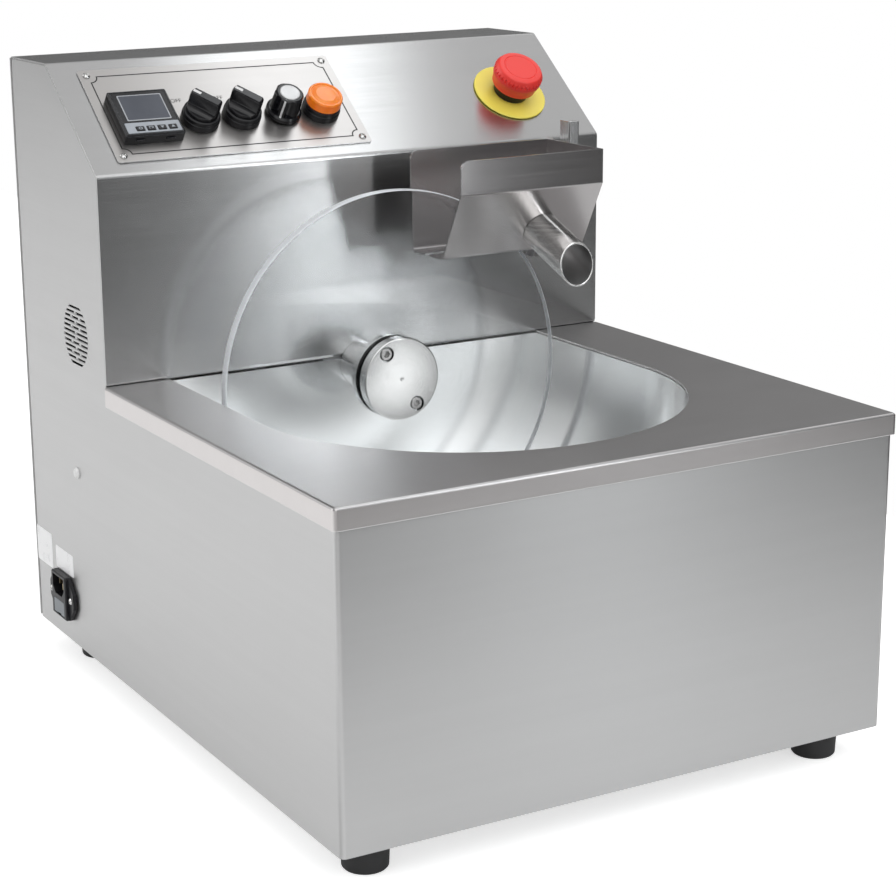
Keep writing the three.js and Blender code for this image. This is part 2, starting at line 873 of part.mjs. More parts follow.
function gearboxShaft() {
  const z0 = couplingStart + couplingLength / 2 + seat;
  return rod(gearboxShaftRadius, z0, gearboxFront + gearboxShaftIn);
}

function gearbox() {
  const z1 = gearboxFront + gearboxLength;
  const bore = rod(
    gearboxShaftRadius + runningGap, gearboxFront - overrun, gearboxFront + gearboxShaftIn + seat,
  );
  const plan = chamfered(bracketSize, bracketSize, gearboxCorner);
  return prismZ(plan, gearboxFront, z1).subtract(bore);
}

function motor() {
  const z0 = gearboxFront + gearboxLength + seat;
  const z1 = z0 + motorLength;
  return turned([
    [0, z0], [motorRadius, z0], [motorRadius, z1 - motorEdge], [motorRadius - motorEdge, z1],
    [motorBossRadius, z1], [motorBossRadius, z1 + motorBossLength], [0, z1 + motorBossLength],
  ]);
}

// Hopper, in its own frame: x along the trough, y from the disc's middle plane, z up

const lipEdge = discThickness / 2 + lipGap;
const troughRear = [[troughHalfWidth, troughHeight], [troughHalfWidth, 0], [lipEdge, 0]];
const troughFront = [
  [-lipEdge, 0], [-troughHalfWidth, 0],
  [-troughHalfWidth - troughFlare, troughKinkRise], [-troughHalfWidth - troughFlare, troughHeight],
];
const flareAngle = Math.atan2(troughFlare, troughKinkRise);

function hopperGroup() {
  const group = new THREE.Group();
  group.position.set(bowlX + troughLeft, wallY - discMiddle, troughBottom);
  return group;
}

// How far right of the trough's left end the disc's rim lies at a height below the trough.
function rimReach(below) {
  const rise = troughBottom - below - axisZ;
  return Math.sqrt(discRadius ** 2 - rise ** 2) - troughLeft;
}

// The spout's own frame: z runs down the tube from the middle of its root.
function spoutMatrix() {
  const rootY = -troughHalfWidth - troughFlare * (spoutRootRise / troughKinkRise);
  const turn = new THREE.Euler((90 + spoutDrop) * degrees, 0, -spoutYaw * degrees, 'ZXY');
  const matrix = new THREE.Matrix4().makeRotationFromEuler(turn);
  return matrix.setPosition(spoutRootX, rootY, spoutRootRise);
}

function troughBody() {
  const start = rimReach(gutterDepth) + gutterClearance;
  const endPlate = [...troughFront.slice(1), ...troughRear.slice(0, 2)];
  const gutter = box(
    [start, -gutterHalfWidth, -gutterDepth], [troughLength, gutterHalfWidth, sheet / 2],
  );
  const gutterSpace = box(
    [start + sheet, sheet - gutterHalfWidth, sheet - gutterDepth],
    [troughLength - sheet, gutterHalfWidth - sheet, sheet + overrun],
  );
  const folds = union(
    prismX(folded([...troughFront].reverse()), 0, troughLength),
    prismX(folded([...troughRear].reverse()), 0, troughLength),
  );
  const end = prismX(endPlate, troughLength - sheet, troughLength);
  return folds.add(end).add(gutter).subtract(gutterSpace);
}

function cornerCut() {
  const z = troughHeight - troughCorner;
  const square = box([-overrun, -bodyDepth, z], [troughCorner, bodyDepth, z + bodyHeight]);
  const round = placed(
    rod(troughCorner, -bodyDepth, bodyDepth, smallSides),
    new THREE.Matrix4().makeRotationX(Math.PI / 2).setPosition(troughCorner, 0, z),
  );
  return square.subtract(round);
}

function hopperTrough() {
  const bore = placed(rod(spoutRadius - spoutWall, -2 * overrun, 2 * overrun), spoutMatrix());
  return troughBody().subtract(cornerCut()).subtract(bore);
}

function hopperSpout() {
  const tube = placed(ring(spoutRadius, spoutRadius - spoutWall, -spoutLength, 2 * spoutLength), spoutMatrix());
  const reach = 4 * spoutLength;
  const plate = new THREE.Matrix4().makeRotationX(flareAngle)
    .setPosition(0, -troughHalfWidth - seat / Math.cos(flareAngle), 0);
  const outside = placed(box([-reach, -reach, -reach], [2 * reach, 0, reach]), plate);
  const mouthMatrix = spoutMatrix();
  const mouth = new THREE.Vector3(0, 0, spoutLength).applyMatrix4(mouthMatrix);
  const cut = new THREE.Matrix4().makeRotationX(-spoutCutTilt * degrees)
    .setPosition(mouth.x, mouth.y, mouth.z);
  const behindCut = placed(box([-reach, 0, -reach], [reach, reach, reach]), cut);
  return tube.intersect(outside).intersect(behindCut);
}

// The hanger slides over the wall post, and its arm carries the trough.
const postY = discMiddle - postStandOff - postDepth / 2; // behind the disc's middle plane
const postLocalX = postX - troughLeft;
const hangerBottom = postFootBottom + postFootHeight + seat - troughBottom;

function hopperHanger() {
  const [innerX, innerY] = [postWidth + 2 * hangerGap, postDepth + 2 * hangerGap];
  const [outerX, outerY] = [innerX + 2 * hangerWall, innerY + 2 * hangerWall];
  const z0 = hangerBottom;
  const z1 = z0 + hangerHeight;
  const tube = post(postLocalX, postY, outerX, outerY, z0, z1)
    .subtract(post(postLocalX, postY, innerX, innerY, z0 - overrun, z1 + overrun));
  const armX = troughLength + seat;
  const [armZ0, armZ1] = [hangerArmRise, hangerArmRise + hangerArmHeight];
  const pad = box(
    [armX, troughHalfWidth - hangerPadLength, armZ0], [armX + hangerArm, postY + hangerArm / 2, armZ1],
  );
  const bar = box(
    [armX, postY - hangerArm / 2, armZ0],
    [postLocalX - innerX / 2 - hangerWall / 2, postY + hangerArm / 2, armZ1],
  );
  return union(tube, pad, bar);
}

function hopperPost() {
  const x = bowlX + postX;
  const y = wallY - postStandOff - postDepth / 2;
  const bar = prismZ(
    chamfered(postWidth, postDepth, postChamfer, x, y), postFootBottom, postFootBottom + postHeight,
  );
  const footFront = y - postDepth / 2 - postChamfer;
  const foot = box(
    [x - postFootWidth / 2, footFront, postFootBottom],
    [x + postFootWidth / 2, wallY - seat, postFootBottom + postFootHeight],
  );
  return bar.add(foot);
}

// Control panel, in its own frame

const plateFace = seat + plateThickness;
const fittingBase = plateFace + seat;

function panelHoles(inPlate) {
  const [z0, z1] = [-3 * overrun, 3 * overrun];
  const size = controllerBody + 2 * seat;
  const hole = (radius, x, y) => rod(radius, z0, z1, smallSides, x, y);
  const holes = [
    post(controllerX, controllerY, size, size, z0, z1),
    hole(barrelRadius + seat, heaterSwitchX, controlRow),
    hole(barrelRadius + seat, motorSwitchX, controlRow),
    hole(potBushRadius + seat, speedKnobX, controlRow),
    hole(barrelRadius + seat, pilotLampX, controlRow),
  ];
  if (!inPlate) holes.push(hole(barrelRadius + seat, stopX, stopY));
  return union(...holes);
}

function plateScrewPlaces() {
  const [x0, x1] = [plateLeft + plateScrewInset, plateRight - plateScrewInset];
  const [y0, y1] = [plateBottom + plateScrewInset, plateTop - plateScrewInset];
  return [[x0, y0], [x1, y0], [x0, y1], [x1, y1]];
}

function controlPlate() {
  const plan = chamfered(
    plateRight - plateLeft, plateTop - plateBottom, plateCorner,
    (plateLeft + plateRight) / 2, (plateBottom + plateTop) / 2,
  );
  const screws = plateScrewPlaces().map(([x, y]) => rod(plateScrewHole, 0, 2 * plateFace, smallSides, x, y));
  return prismZ(plan, seat, plateFace).subtract(panelHoles(true)).subtract(union(...screws));
}

function keyPlaces() {
  return [0, 1, 2, 3].map((i) => [keyOffset + (i - 1.5) * keyPitch, -keyDrop]);
}

function temperatureController() {
  const z1 = fittingBase + controllerProud;
  const bezel = prismZ(chamfered(controllerBezel, controllerBezel, controllerCorner), fittingBase, z1);
  const body = post(0, 0, controllerBody, controllerBody, -controllerDepth, fittingBase + seat);
  const window = post(
    0, windowRise, windowWidth + 2 * keyGap, windowHeight + 2 * keyGap, z1 - windowDepth - keyGap, z1 + overrun,
  );
  const pockets = keyPlaces().map(([x, y]) => post(
    x, y, keyWidth + 2 * keyGap, keyHeight + 2 * keyGap, z1 - keyPocket, z1 + overrun,
  ));
  return bezel.add(body).subtract(window).subtract(union(...pockets));
}

function controllerWindow() {
  const z1 = fittingBase + controllerProud;
  return post(0, windowRise, windowWidth, windowHeight, z1 - windowDepth, z1);
}

function controllerKey() {
  const z1 = fittingBase + controllerProud + keyProud;
  return post(0, 0, keyWidth, keyHeight, z1 - keyDepth, z1);
}

// A round collar on the panel, a barrel through it and a contact block behind it.
function fittingBody(boreRadius, boreDepth) {
  const z1 = fittingBase + collarHeight;
  const solid = turned([
    [0, -barrelDepth], [barrelRadius, -barrelDepth], [barrelRadius, fittingBase],
    [collarRadius, fittingBase], [collarRadius, z1 - collarEdge], [collarRadius - collarEdge, z1],
    [0, z1],
  ]);
  const block = post(0, 0, contactWidth, contactHeight, -barrelDepth - contactDepth, -barrelDepth);
  return solid.add(block).subtract(rod(boreRadius, z1 - boreDepth, z1 + overrun, smallSides));
}

function switchHandle() {
  const z0 = fittingBase + collarHeight + seat;
  const base = rod(handleRadius, z0, z0 + handleDisc);
  const wing = rod(handleRadius, z0, z0 + handleHeight)
    .intersect(post(0, 0, handleWidth, 2 * handleRadius, z0, z0 + handleHeight));
  const stem = rod(handleStem, z0 - handleStemDepth, z0 + handleDisc, smallSides);
  return union(base, wing, stem);
}

function speedPotentiometer() {
  const under = -sheet - seat;
  return union(
    rod(potRadius, under - potDepth, under, smallSides),
    rod(potBushRadius, under - potDepth / 2, fittingBase + potBushHeight, smallSides),
    rod(potSpindleRadius, under, fittingBase + potSpindleHeight, smallSides),
  );
}

function speedKnob() {
  const z0 = fittingBase + knobLift;
  const z1 = z0 + knobHeight;
  const skirt = z0 + knobSkirtHeight;
  let solid = turned([
    [0, z0], [knobSkirtRadius, z0], [knobSkirtRadius, skirt - collarEdge],
    [knobSkirtRadius - collarEdge, skirt], [knobRadius, skirt], [knobRadius, z1 - collarEdge],
    [knobRadius - collarEdge, z1], [knobCapRadius, z1], [knobCapRadius, z1 + knobCapRise],
    [0, z1 + knobCapRise],
  ]);
  for (let i = 0; i < knobFlutes; i += 1) {
    const angle = ((i + 0.5) / knobFlutes) * 2 * Math.PI;
    const at = knobRadius + knobFluteRadius / 2;
    solid = solid.subtract(rod(
      knobFluteRadius, skirt, z1 + overrun, smallSides / 2, at * Math.sin(angle), at * Math.cos(angle),
    ));
  }
  const cavity = rod(knobCavityRadius, z0 - overrun, z0 + knobCavityDepth, smallSides);
  const spindleTop = fittingBase + potSpindleHeight + seat;
  const bore = rod(potSpindleRadius + runningGap, z0 - overrun, spindleTop, smallSides);
  return solid.subtract(cavity).subtract(bore);
}

function pilotLens() {
  const z0 = fittingBase + collarHeight + seat;
  const z1 = z0 + lensHeight;
  return turned([
    [0, z0 - lensSpigotDepth], [lensSpigot, z0 - lensSpigotDepth], [lensSpigot, z0],
    [lensRadius, z0], [lensRadius, z1 - lensEdge], [lensRadius - lensEdge, z1], [0, z1],
  ]);
}

function stopRing() {
  return ring(stopRingRadius, barrelRadius + seat, seat, seat + stopRingThickness);
}

function stopBody() {
  const base = 2 * seat + stopRingThickness;
  const z1 = base + stopCollarHeight;
  const solid = turned([
    [0, -stopBarrelDepth], [barrelRadius, -stopBarrelDepth], [barrelRadius, base],
    [stopCollarRadius, base], [stopCollarRadius, z1], [0, z1],
  ]);
  const block = post(
    0, 0, contactWidth, contactHeight, -stopBarrelDepth - contactDepth, -stopBarrelDepth,
  );
  const bore = rod(stopStemRadius + runningGap, -stopStemDepth - stopHollow, z1 + overrun);
  return solid.add(block).subtract(bore);
}

function stopStem() {
  return rod(stopStemRadius, -stopStemDepth, stopStemTop);
}

function stopButton() {
  const rim = stopHeadTop - stopShoulder;
  const solid = turned([
    [0, stopHeadBottom], [stopSkirtRadius, stopHeadBottom],
    [stopHeadRadius, stopHeadBottom + rim / 2], [stopHeadRadius, stopHeadTop - rim / 3],
    [stopShoulder, stopHeadTop], [0, stopHeadTop],
  ]);
  const hollow = rod(stopSkirtInner, stopHeadBottom - overrun, stopHeadBottom + stopHollow);
  const bore = rod(stopStemRadius + runningGap, stopHeadBottom, stopStemTop + seat);
  return solid.subtract(hollow).subtract(bore);
}

// Power inlet, in the left side's frame

function socketOutline() {
  const [w, h, c] = [socketWidth / 2, socketHeight / 2, socketChamfer];
  return [[-w, h], [-w, c - h], [c - w, -h], [w - c, -h], [w, c - h], [w, h]];
}

function powerInlet() {
  const ear = [
    [-inletEarSpan / 2, -inletEarHeight / 2], [-inletBlock / 2, -inletHeight / 2],
    [inletBlock / 2, -inletHeight / 2], [inletEarSpan / 2, -inletEarHeight / 2],
    [inletEarSpan / 2, inletEarHeight / 2], [inletBlock / 2, inletHeight / 2],
    [-inletBlock / 2, inletHeight / 2], [-inletEarSpan / 2, inletEarHeight / 2],
  ];
  const flange = prismZ(ear, seat, seat + inletEarThickness);
  const block = prismZ(chamfered(inletBlock, inletHeight, collarEdge), seat, inletProud);
  const body = post(0, 0, inletBody, inletBodyHeight, -inletBodyDepth, inletEarThickness);
  const socket = prismZ(
    socketOutline().map(([x, y]) => [x, y + socketRise]), inletProud - socketDepth, inletProud + overrun,
  );
  const pinFloor = inletProud - socketDepth;
  const pins = [[-pinPitch, 0], [0, -pinPitch / 2], [pinPitch, 0]].map(([x, y]) => post(
    x, y + socketRise + pinPitch / 4, pinWidth, pinHeight, pinFloor - seat, pinFloor + pinLength,
  ));
  const pocket = post(
    0, -drawerDrop, drawerWidth + 2 * drawerGap, drawerHeight + 2 * drawerGap,
    inletProud - drawerDepth - drawerGap, inletProud + overrun,
  );
  return union(flange, block, body).subtract(socket).subtract(pocket).add(union(...pins));
}

function fuseDrawer() {
  const z1 = inletProud;
  const solid = post(0, -drawerDrop, drawerWidth, drawerHeight, z1 - drawerDepth, z1);
  const notch = post(
    0, -drawerDrop - drawerHeight / 2, drawerWidth / 3, 2 * drawerNotch, z1 - drawerNotch, z1 + overrun,
  );
  return solid.subtract(notch);
}

// Cooling fan, in the left side's frame, behind the sheet

const fanFront = -sheet - seat;

function fanFrame() {
  const z0 = fanFront - fanDepth;
  const shell = prismZ(chamfered(fanSize, fanSize, gearboxCorner / 2), z0, fanFront)
    .subtract(rod(fanBoreRadius, z0 - overrun, fanFront + overrun));
  const hub = rod(fanHubRadius, z0, z0 + fanPlate, smallSides);
  const strut = (angle) => post(0, 0, 2 * fanBoreRadius + overrun, fanStrutWidth, z0, z0 + fanStrutDepth)
    .rotate([0, 0, angle]);
  const bore = rod(fanPinRadius + runningGap, z0 - overrun, z0 + fanPlate + overrun, smallSides);
  return union(shell, hub, strut(45), strut(135)).subtract(bore);
}

function fanImpeller() {
  const z0 = fanFront - fanDepth;
  const [low, high] = [z0 + fanPlate + fanHubGap, fanFront - fanHubGap];
  const hub = rod(fanHubRadius, low, high, smallSides);
  const pin = rod(fanPinRadius, z0 + fanHubGap, low + seat, smallSides);
  const length = fanBoreRadius - fanTipGap;
  const blades = Array.from({ length: fanBlades }, (_, i) => {
    const blade = post(length / 2, 0, length, fanBladeThickness, -fanDepth, fanDepth)
      .rotate([fanBladePitch, 0, 0]).translate([0, 0, (low + high) / 2]);
    return blade.rotate([0, 0, (i * 360) / fanBlades]);
  });
  const space = ring(fanBoreRadius - fanTipGap, fanHubRadius - seat, low + fanHubGap, high - fanHubGap);
  return union(hub, pin, union(...blades).intersect(space));
}

// Electrics on a plate in the tower

const chassisBottom = footHeight + sheet + seat;

function electricsPlate() {
  const outline = folded([
    [chassisX, chassisBottom + chassisHeight], [chassisX, chassisBottom],
    [chassisX + chassisFoot, chassisBottom],
  ], chassisThickness);
  return prismY(outline, chassisFront, chassisFront + chassisDepth);
}

// The middle of the electrics plate's face, z running away from it to the left.
function chassisGroup(height) {
  const group = new THREE.Group();
  group.position.set(chassisX - seat, chassisFront + chassisDepth / 2, height);
  group.rotation.copy(sideGroup().rotation);
  return group;
}

function speedBoard() {
  const z0 = boardStandOff;
  const plate = post(0, 0, boardLength, boardHeight, z0, z0 + boardThickness);
  const [x, y] = [boardLength / 2 - boardHoleInset, boardHeight / 2 - boardHoleInset];
  const stands = [[-x, -y], [x, -y], [-x, y], [x, y]].map(([u, v]) => rod(
    boardStandRadius, 0, z0 + boardThickness / 2, smallSides / 2, u, v,
  ));
  const top = z0 + boardThickness;
  const sink = post(-boardLength / 4, 0, boardSink, boardSinkHeight, top - seat, top + boardSink);
  const cap = rod(boardCapRadius, top - seat, top + boardCapHeight, smallSides, boardLength / 4, 0);
  return union(plate, ...stands, sink, cap);
}

function solidStateRelay() {
  const block = post(0, 0, relayLength, relayHeight, 0, relayDepth);
  const step = relayLength / 2 - relayEar;
  const cuts = [-1, 1].map((side) => box(
    [side > 0 ? step : -relayLength, -relayHeight, relayDepth - relayRecess],
    [side > 0 ? relayLength : -step, relayHeight, relayDepth + overrun],
  ));
  return block.subtract(union(...cuts));
}

function terminalBlock() {
  const ways = Math.round(terminalLength / terminalPitch);
  const holes = Array.from({ length: ways }, (_, i) => rod(
    terminalHole, terminalDepth / 2, terminalDepth + overrun, smallSides / 2,
    (i - (ways - 1) / 2) * terminalPitch, 0,
  ));
  return post(0, 0, terminalLength, terminalHeight, 0, terminalDepth).subtract(union(...holes));
}

// Assembly

const machine = new THREE.Group();

function add(group, name, solid, finish, x = 0, y = 0, turn = 0) {
  const mesh = meshOf(name, solid, finish);
  mesh.position.set(x, y, 0);
  mesh.rotation.z = turn;
  group.add(mesh);
}

add(machine, 'cabinet_wrap', cabinetWrap(), brushed);
add(machine, 'base_tray', baseTray(), brushed);
add(machine, 'tower_sheet', towerSheet(), brushed);
add(machine, 'deck_lid', deckLid(), brushed);
add(machine, 'rear_cover', rearCover(), brushed);
const footNames = ['foot_front_left', 'foot_front_right', 'foot_rear_left', 'foot_rear_right'];
footPlaces().forEach(([x, y], i) => add(machine, footNames[i], foot(), rubber, x, y));
add(machine, 'bowl', bowl(), polished);
add(machine, 'bowl_heater', bowlHeater(), silicone);
add(machine, 'temperature_probe', temperatureProbe(), machined);
add(machine, 'hopper_post', hopperPost(), machined);
add(machine, 'electrics_plate', electricsPlate(), brushed);

const drive = driveGroup();
add(drive, 'disc', disc(), clear);
add(drive, 'hub_front', hubFront(), machined);
add(drive, 'hub_gasket', hubGasket(), rubber);
add(drive, 'hub_rear', hubRear(), machined);
screwPlaces().forEach(([x, y], i) => add(drive, `hub_screw_${i + 1}`, hubScrew(), polished, x, y));
add(drive, 'drive_shaft', driveShaft(), machined);
add(drive, 'shaft_sleeve', shaftSleeve(), machined);
add(drive, 'shaft_seal', shaftSeal(), rubber);
add(drive, 'bearing_housing', bearingHousing(), castGrey);
add(drive, 'shaft_bearing', shaftBearing(), polished);
add(drive, 'motor_bracket', motorBracket(), castGrey);
add(drive, 'shaft_coupling', shaftCoupling(), machined);
add(drive, 'gearbox_shaft', gearboxShaft(), machined);
add(drive, 'gearbox', gearbox(), castGrey);
add(drive, 'motor', motor(), castGrey);
machine.add(drive);

const hopper = hopperGroup();
add(hopper, 'hopper_trough', hopperTrough(), brushed);
add(hopper, 'hopper_spout', hopperSpout(), polished);
add(hopper, 'hopper_hanger', hopperHanger(), brushed);
machine.add(hopper);

const panel = panelGroup();
add(panel, 'control_plate', controlPlate(), brushed);
add(panel, 'temperature_controller', temperatureController(), blackPlastic, controllerX, controllerY);
add(panel, 'controller_window', controllerWindow(), greyPlastic, controllerX, controllerY);
keyPlaces().forEach(([x, y], i) => add(
  panel, `controller_key_${i + 1}`, controllerKey(), blackPlastic, controllerX + x, controllerY + y,
));
const switchBody = fittingBody(handleStem + runningGap, handleStemDepth + seat);
for (const [name, x] of [['heater', heaterSwitchX], ['motor', motorSwitchX]]) {
  add(panel, `${name}_switch_body`, switchBody, blackPlastic, x, controlRow);
  add(panel, `${name}_switch_knob`, switchHandle(), blackPlastic, x, controlRow, restTurn * degrees);
}
add(panel, 'speed_potentiometer', speedPotentiometer(), machined, speedKnobX, controlRow);
add(panel, 'speed_knob', speedKnob(), blackPlastic, speedKnobX, controlRow, knobRest * degrees);
const lampBody = fittingBody(lensSpigot + seat, lensSpigotDepth + seat);
add(panel, 'pilot_lamp_body', lampBody, blackPlastic, pilotLampX, controlRow);
add(panel, 'pilot_lamp_lens', pilotLens(), orangeLens, pilotLampX, controlRow);
add(panel, 'stop_ring', stopRing(), yellowPlastic, stopX, stopY);
add(panel, 'stop_body', stopBody(), blackPlastic, stopX, stopY);
add(panel, 'stop_stem', stopStem(), greyPlastic, stopX, stopY);
add(panel, 'stop_button', stopButton(), redPlastic, stopX, stopY);
machine.add(panel);

const side = sideGroup();
add(side, 'power_inlet', powerInlet(), blackPlastic, -inletY, inletZ);
add(side, 'fuse_drawer', fuseDrawer(), greyPlastic, -inletY, inletZ);
add(side, 'fan_frame', fanFrame(), blackPlastic, -ventY, ventZ);
add(side, 'fan_impeller', fanImpeller(), blackPlastic, -ventY, ventZ);
machine.add(side);

for (const [name, solid, finish, height] of [
  ['speed_board', speedBoard(), board, boardZ],
  ['solid_state_relay', solidStateRelay(), greyPlastic, relayZ],
  ['terminal_block', terminalBlock(), blackPlastic, terminalZ],
]) {
  const group = chassisGroup(height);
  add(group, name, solid, finish);
  machine.add(group);
}

// The origin lies under the middle of the whole machine's box.
machine.position.x = (inletProud - deckProud) / 2;
const model = new THREE.Group();
model.add(machine);

export default model;
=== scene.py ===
"""Studio scene of a chocolate tempering machine: brushed and polished steel, clear disc, controls.

Shapes are made in millimetres, and piece() scales them to the frame's metres.
"""
import math

import bmesh
import bpy
from mathutils import Matrix, Vector


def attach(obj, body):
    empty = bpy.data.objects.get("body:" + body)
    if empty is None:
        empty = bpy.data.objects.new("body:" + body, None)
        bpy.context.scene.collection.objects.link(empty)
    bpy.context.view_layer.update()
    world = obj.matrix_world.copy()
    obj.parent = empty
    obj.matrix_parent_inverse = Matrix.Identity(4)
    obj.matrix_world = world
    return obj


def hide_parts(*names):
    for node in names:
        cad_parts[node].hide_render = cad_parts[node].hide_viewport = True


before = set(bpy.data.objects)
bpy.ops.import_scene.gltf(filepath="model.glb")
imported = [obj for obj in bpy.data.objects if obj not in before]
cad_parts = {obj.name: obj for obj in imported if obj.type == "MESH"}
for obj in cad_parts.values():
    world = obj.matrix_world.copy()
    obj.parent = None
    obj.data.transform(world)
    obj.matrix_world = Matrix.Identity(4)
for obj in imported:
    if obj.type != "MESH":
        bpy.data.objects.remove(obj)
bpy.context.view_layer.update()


def at(x, y, z=0.0):
    return Matrix.Translation((x, y, z))


def turn(degrees, axis='Z'):
    return Matrix.Rotation(math.radians(degrees), 4, axis)


MM = 0.001
SHIFT = 2.1  # the machine's middle plane, right of the origin
AXIS = SHIFT - 5  # x of the drive's axis and of the bowl's middle
AXIS_HEIGHT = 245
WALL_Y = 94.0  # face of the tower's wall
LID_TOP, LID_REAR = 252.0, 93.7
BOWL_Y, BOWL_RADIUS = -61.0, 160.0  # middle and radius of the round nose
REAR_Y = 265.0  # the cabinet's rear edge; the rear cover's sheet lies at 265.3 to 266.8
SLOPE_BOTTOM, SLOPE_RISE, SLOPE_DEPTH = 406, 74, 94
PLATE = 1.3  # face of the control plate above the slope
SEAT = 1.6  # where fittings stand on it

DRIVE = at(AXIS, WALL_Y, AXIS_HEIGHT) @ turn(-90, 'X')
PANEL = (at(SHIFT, WALL_Y, SLOPE_BOTTOM)
         @ Matrix.Rotation(math.atan2(SLOPE_RISE, SLOPE_DEPTH), 4, 'X'))
HOPPER = at(SHIFT + 25, 40, 333.7)  # trough's left end, disc's middle plane, trough's bottom
SIDE = at(SHIFT - 215, 0) @ turn(-90) @ turn(90, 'X')


# ---------------------------------------------------------------- materials

class Tree:
    """A node tree, built by short calls."""

    def __init__(self, owner):
        owner.use_nodes = True
        self.tree = owner.node_tree
        self.tree.nodes.clear()

    def add(self, kind, inputs=None, **settings):
        """A node with its settings, and with its inputs filled or linked."""
        node = self.tree.nodes.new('ShaderNode' + kind)
        for key, value in settings.items():
            setattr(node, key, value)
        for key, value in (inputs or {}).items():
            self.fill(node, key, value)
        return node

    def fill(self, node, key, value):
        socket = node.inputs[key]
        if isinstance(value, bpy.types.NodeSocket):
            self.tree.links.new(value, socket)
        elif isinstance(value, (tuple, list)) and socket.type == 'RGBA':
            socket.default_value = (*value, 1)
        else:
            socket.default_value = value

    def math(self, operation, a, b):
        return self.add('Math', {0: a, 1: b}, operation=operation).outputs[0]

    def spread(self, value, low, high, start=0.3, end=0.7, **settings):
        """A value between start and end, mapped to low and high."""
        return self.add('MapRange', {'Value': value, 'From Min': start, 'From Max': end,
                                     'To Min': low, 'To Max': high}, **settings).outputs[0]


class Surface(Tree):
    """A material made of one principled shader."""

    def __init__(self, name, values=None):
        self.material = bpy.data.materials.new(name)
        super().__init__(self.material)
        self.shader = self.add('BsdfPrincipled', values)
        self.output = self.add('OutputMaterial', {0: self.shader.outputs[0]})
        self.coords = self.add('TexCoord').outputs['Object']

    def look(self, key, value):
        self.fill(self.shader, key, value)

    def noise(self, scale, detail=3.0, roughness=0.55, stretch=(1, 1, 1), distortion=0.0):
        mapping = self.add('Mapping', {'Vector': self.coords, 'Scale': stretch})
        return self.add('TexNoise', {'Vector': mapping.outputs[0], 'Scale': scale,
                                     'Detail': detail, 'Roughness': roughness,
                                     'Distortion': distortion}).outputs[0]

    def mix(self, factor, a, b):
        """Two colours mixed by a value; sockets 6 and 7 are the mix node's colours."""
        return self.add('Mix', {0: factor, 6: a, 7: b}, data_type='RGBA').outputs[2]

    def bump(self, height, strength, distance):
        self.look('Normal', self.add('Bump', {'Height': height, 'Strength': strength,
                                              'Distance': distance}).outputs[0])


def shaded(colour, factor):
    return [min(1.0, c * factor) for c in colour]


def brushed(name, colour, rough, along, depth=0.12, streaks=0.06, anisotropy=0.8,
            tangent=(0, 0, 1)):
    """Steel brushed along one axis: scratches, longer streaks, cloudy wear and finger smudges."""
    n = Surface(name, {'Metallic': 1.0})
    fine, band, long = (
        n.noise(scale, detail, 0.5, [1.0 if c in along else stretch for c in 'xyz'])
        for scale, detail, stretch in ((6.0, 2.0, 160.0), (3.0, 1.0, 50.0), (1.5, 1.0, 30.0)))
    cloud = n.noise(5.5, 2.0, 0.5)
    smudge = n.noise(26.0, 4.0, 0.6, distortion=0.6)
    grain = n.math('ADD', n.math('MULTIPLY', band, 0.5), n.math('MULTIPLY', long, 0.5))
    tone = n.mix(n.spread(grain, 0.0, 1.0), shaded(colour, 1 - streaks),
                 shaded(colour, 1 + streaks))
    n.look('Base Color', n.mix(n.spread(cloud, 0.0, 0.06), tone, shaded(colour, 0.9)))
    n.look('Roughness', n.math('ADD', n.spread(fine, rough - 0.015, rough + 0.015),
                               n.spread(smudge, -0.004, 0.008, 0.42, 0.72)))
    n.look('Anisotropic', anisotropy)
    if anisotropy:
        n.look('Tangent', n.add('CombineXYZ', dict(enumerate(tangent))).outputs[0])
    if depth:
        n.bump(fine, depth, 0.00002)
    return n.material


def spun(name, colour, rough, centre, axis='y', rings=2600.0, depth=0.12):
    """Turned metal: fine rings about a centre and a little uneven wear."""
    n = Surface(name, {'Metallic': 1.0})
    flat = [0.0 if c == axis else 1.0 for c in 'xyz']
    shift = n.add('VectorMath', {0: n.coords, 1: centre}, operation='SUBTRACT')
    across = n.add('VectorMath', {0: shift.outputs[0], 1: flat}, operation='MULTIPLY')
    radius = n.add('VectorMath', {0: across.outputs[0]}, operation='LENGTH').outputs['Value']
    ring = n.add('TexNoise', {'W': radius, 'Scale': rings, 'Detail': 2.0},
                 noise_dimensions='1D').outputs[0]
    cloud = n.noise(60.0, 3.0, 0.6)
    tone = n.mix(n.spread(ring, 0.0, 1.0), shaded(colour, 0.88), colour)
    n.look('Base Color', n.mix(n.spread(cloud, 0.0, 0.15), tone, shaded(colour, 0.8)))
    n.look('Roughness', n.math('ADD', n.spread(ring, rough - 0.03, rough + 0.05),
                               n.spread(cloud, -0.02, 0.04)))
    n.bump(ring, depth, 0.00005)
    return n.material


def moulded(name, colour, rough, grain=900.0, depth=0.08, variation=0.12, shine=0.5,
            values=None):
    """Moulded plastic or rubber: a fine skin texture, slight colour drift, handling marks."""
    n = Surface(name, values)
    fine = n.noise(grain, 2.0, 0.5)
    cloud = n.noise(45.0, 3.0, 0.55)
    n.look('Base Color', n.mix(n.spread(cloud, 0.0, 1.0), shaded(colour, 1 - variation),
                               shaded(colour, 1 + variation)))
    n.look('Roughness', n.math('ADD', n.spread(cloud, rough - 0.04, rough + 0.06),
                               n.spread(fine, -0.02, 0.02)))
    n.bump(fine, depth, 0.00004)
    n.look('Specular IOR Level', shine)
    return n.material


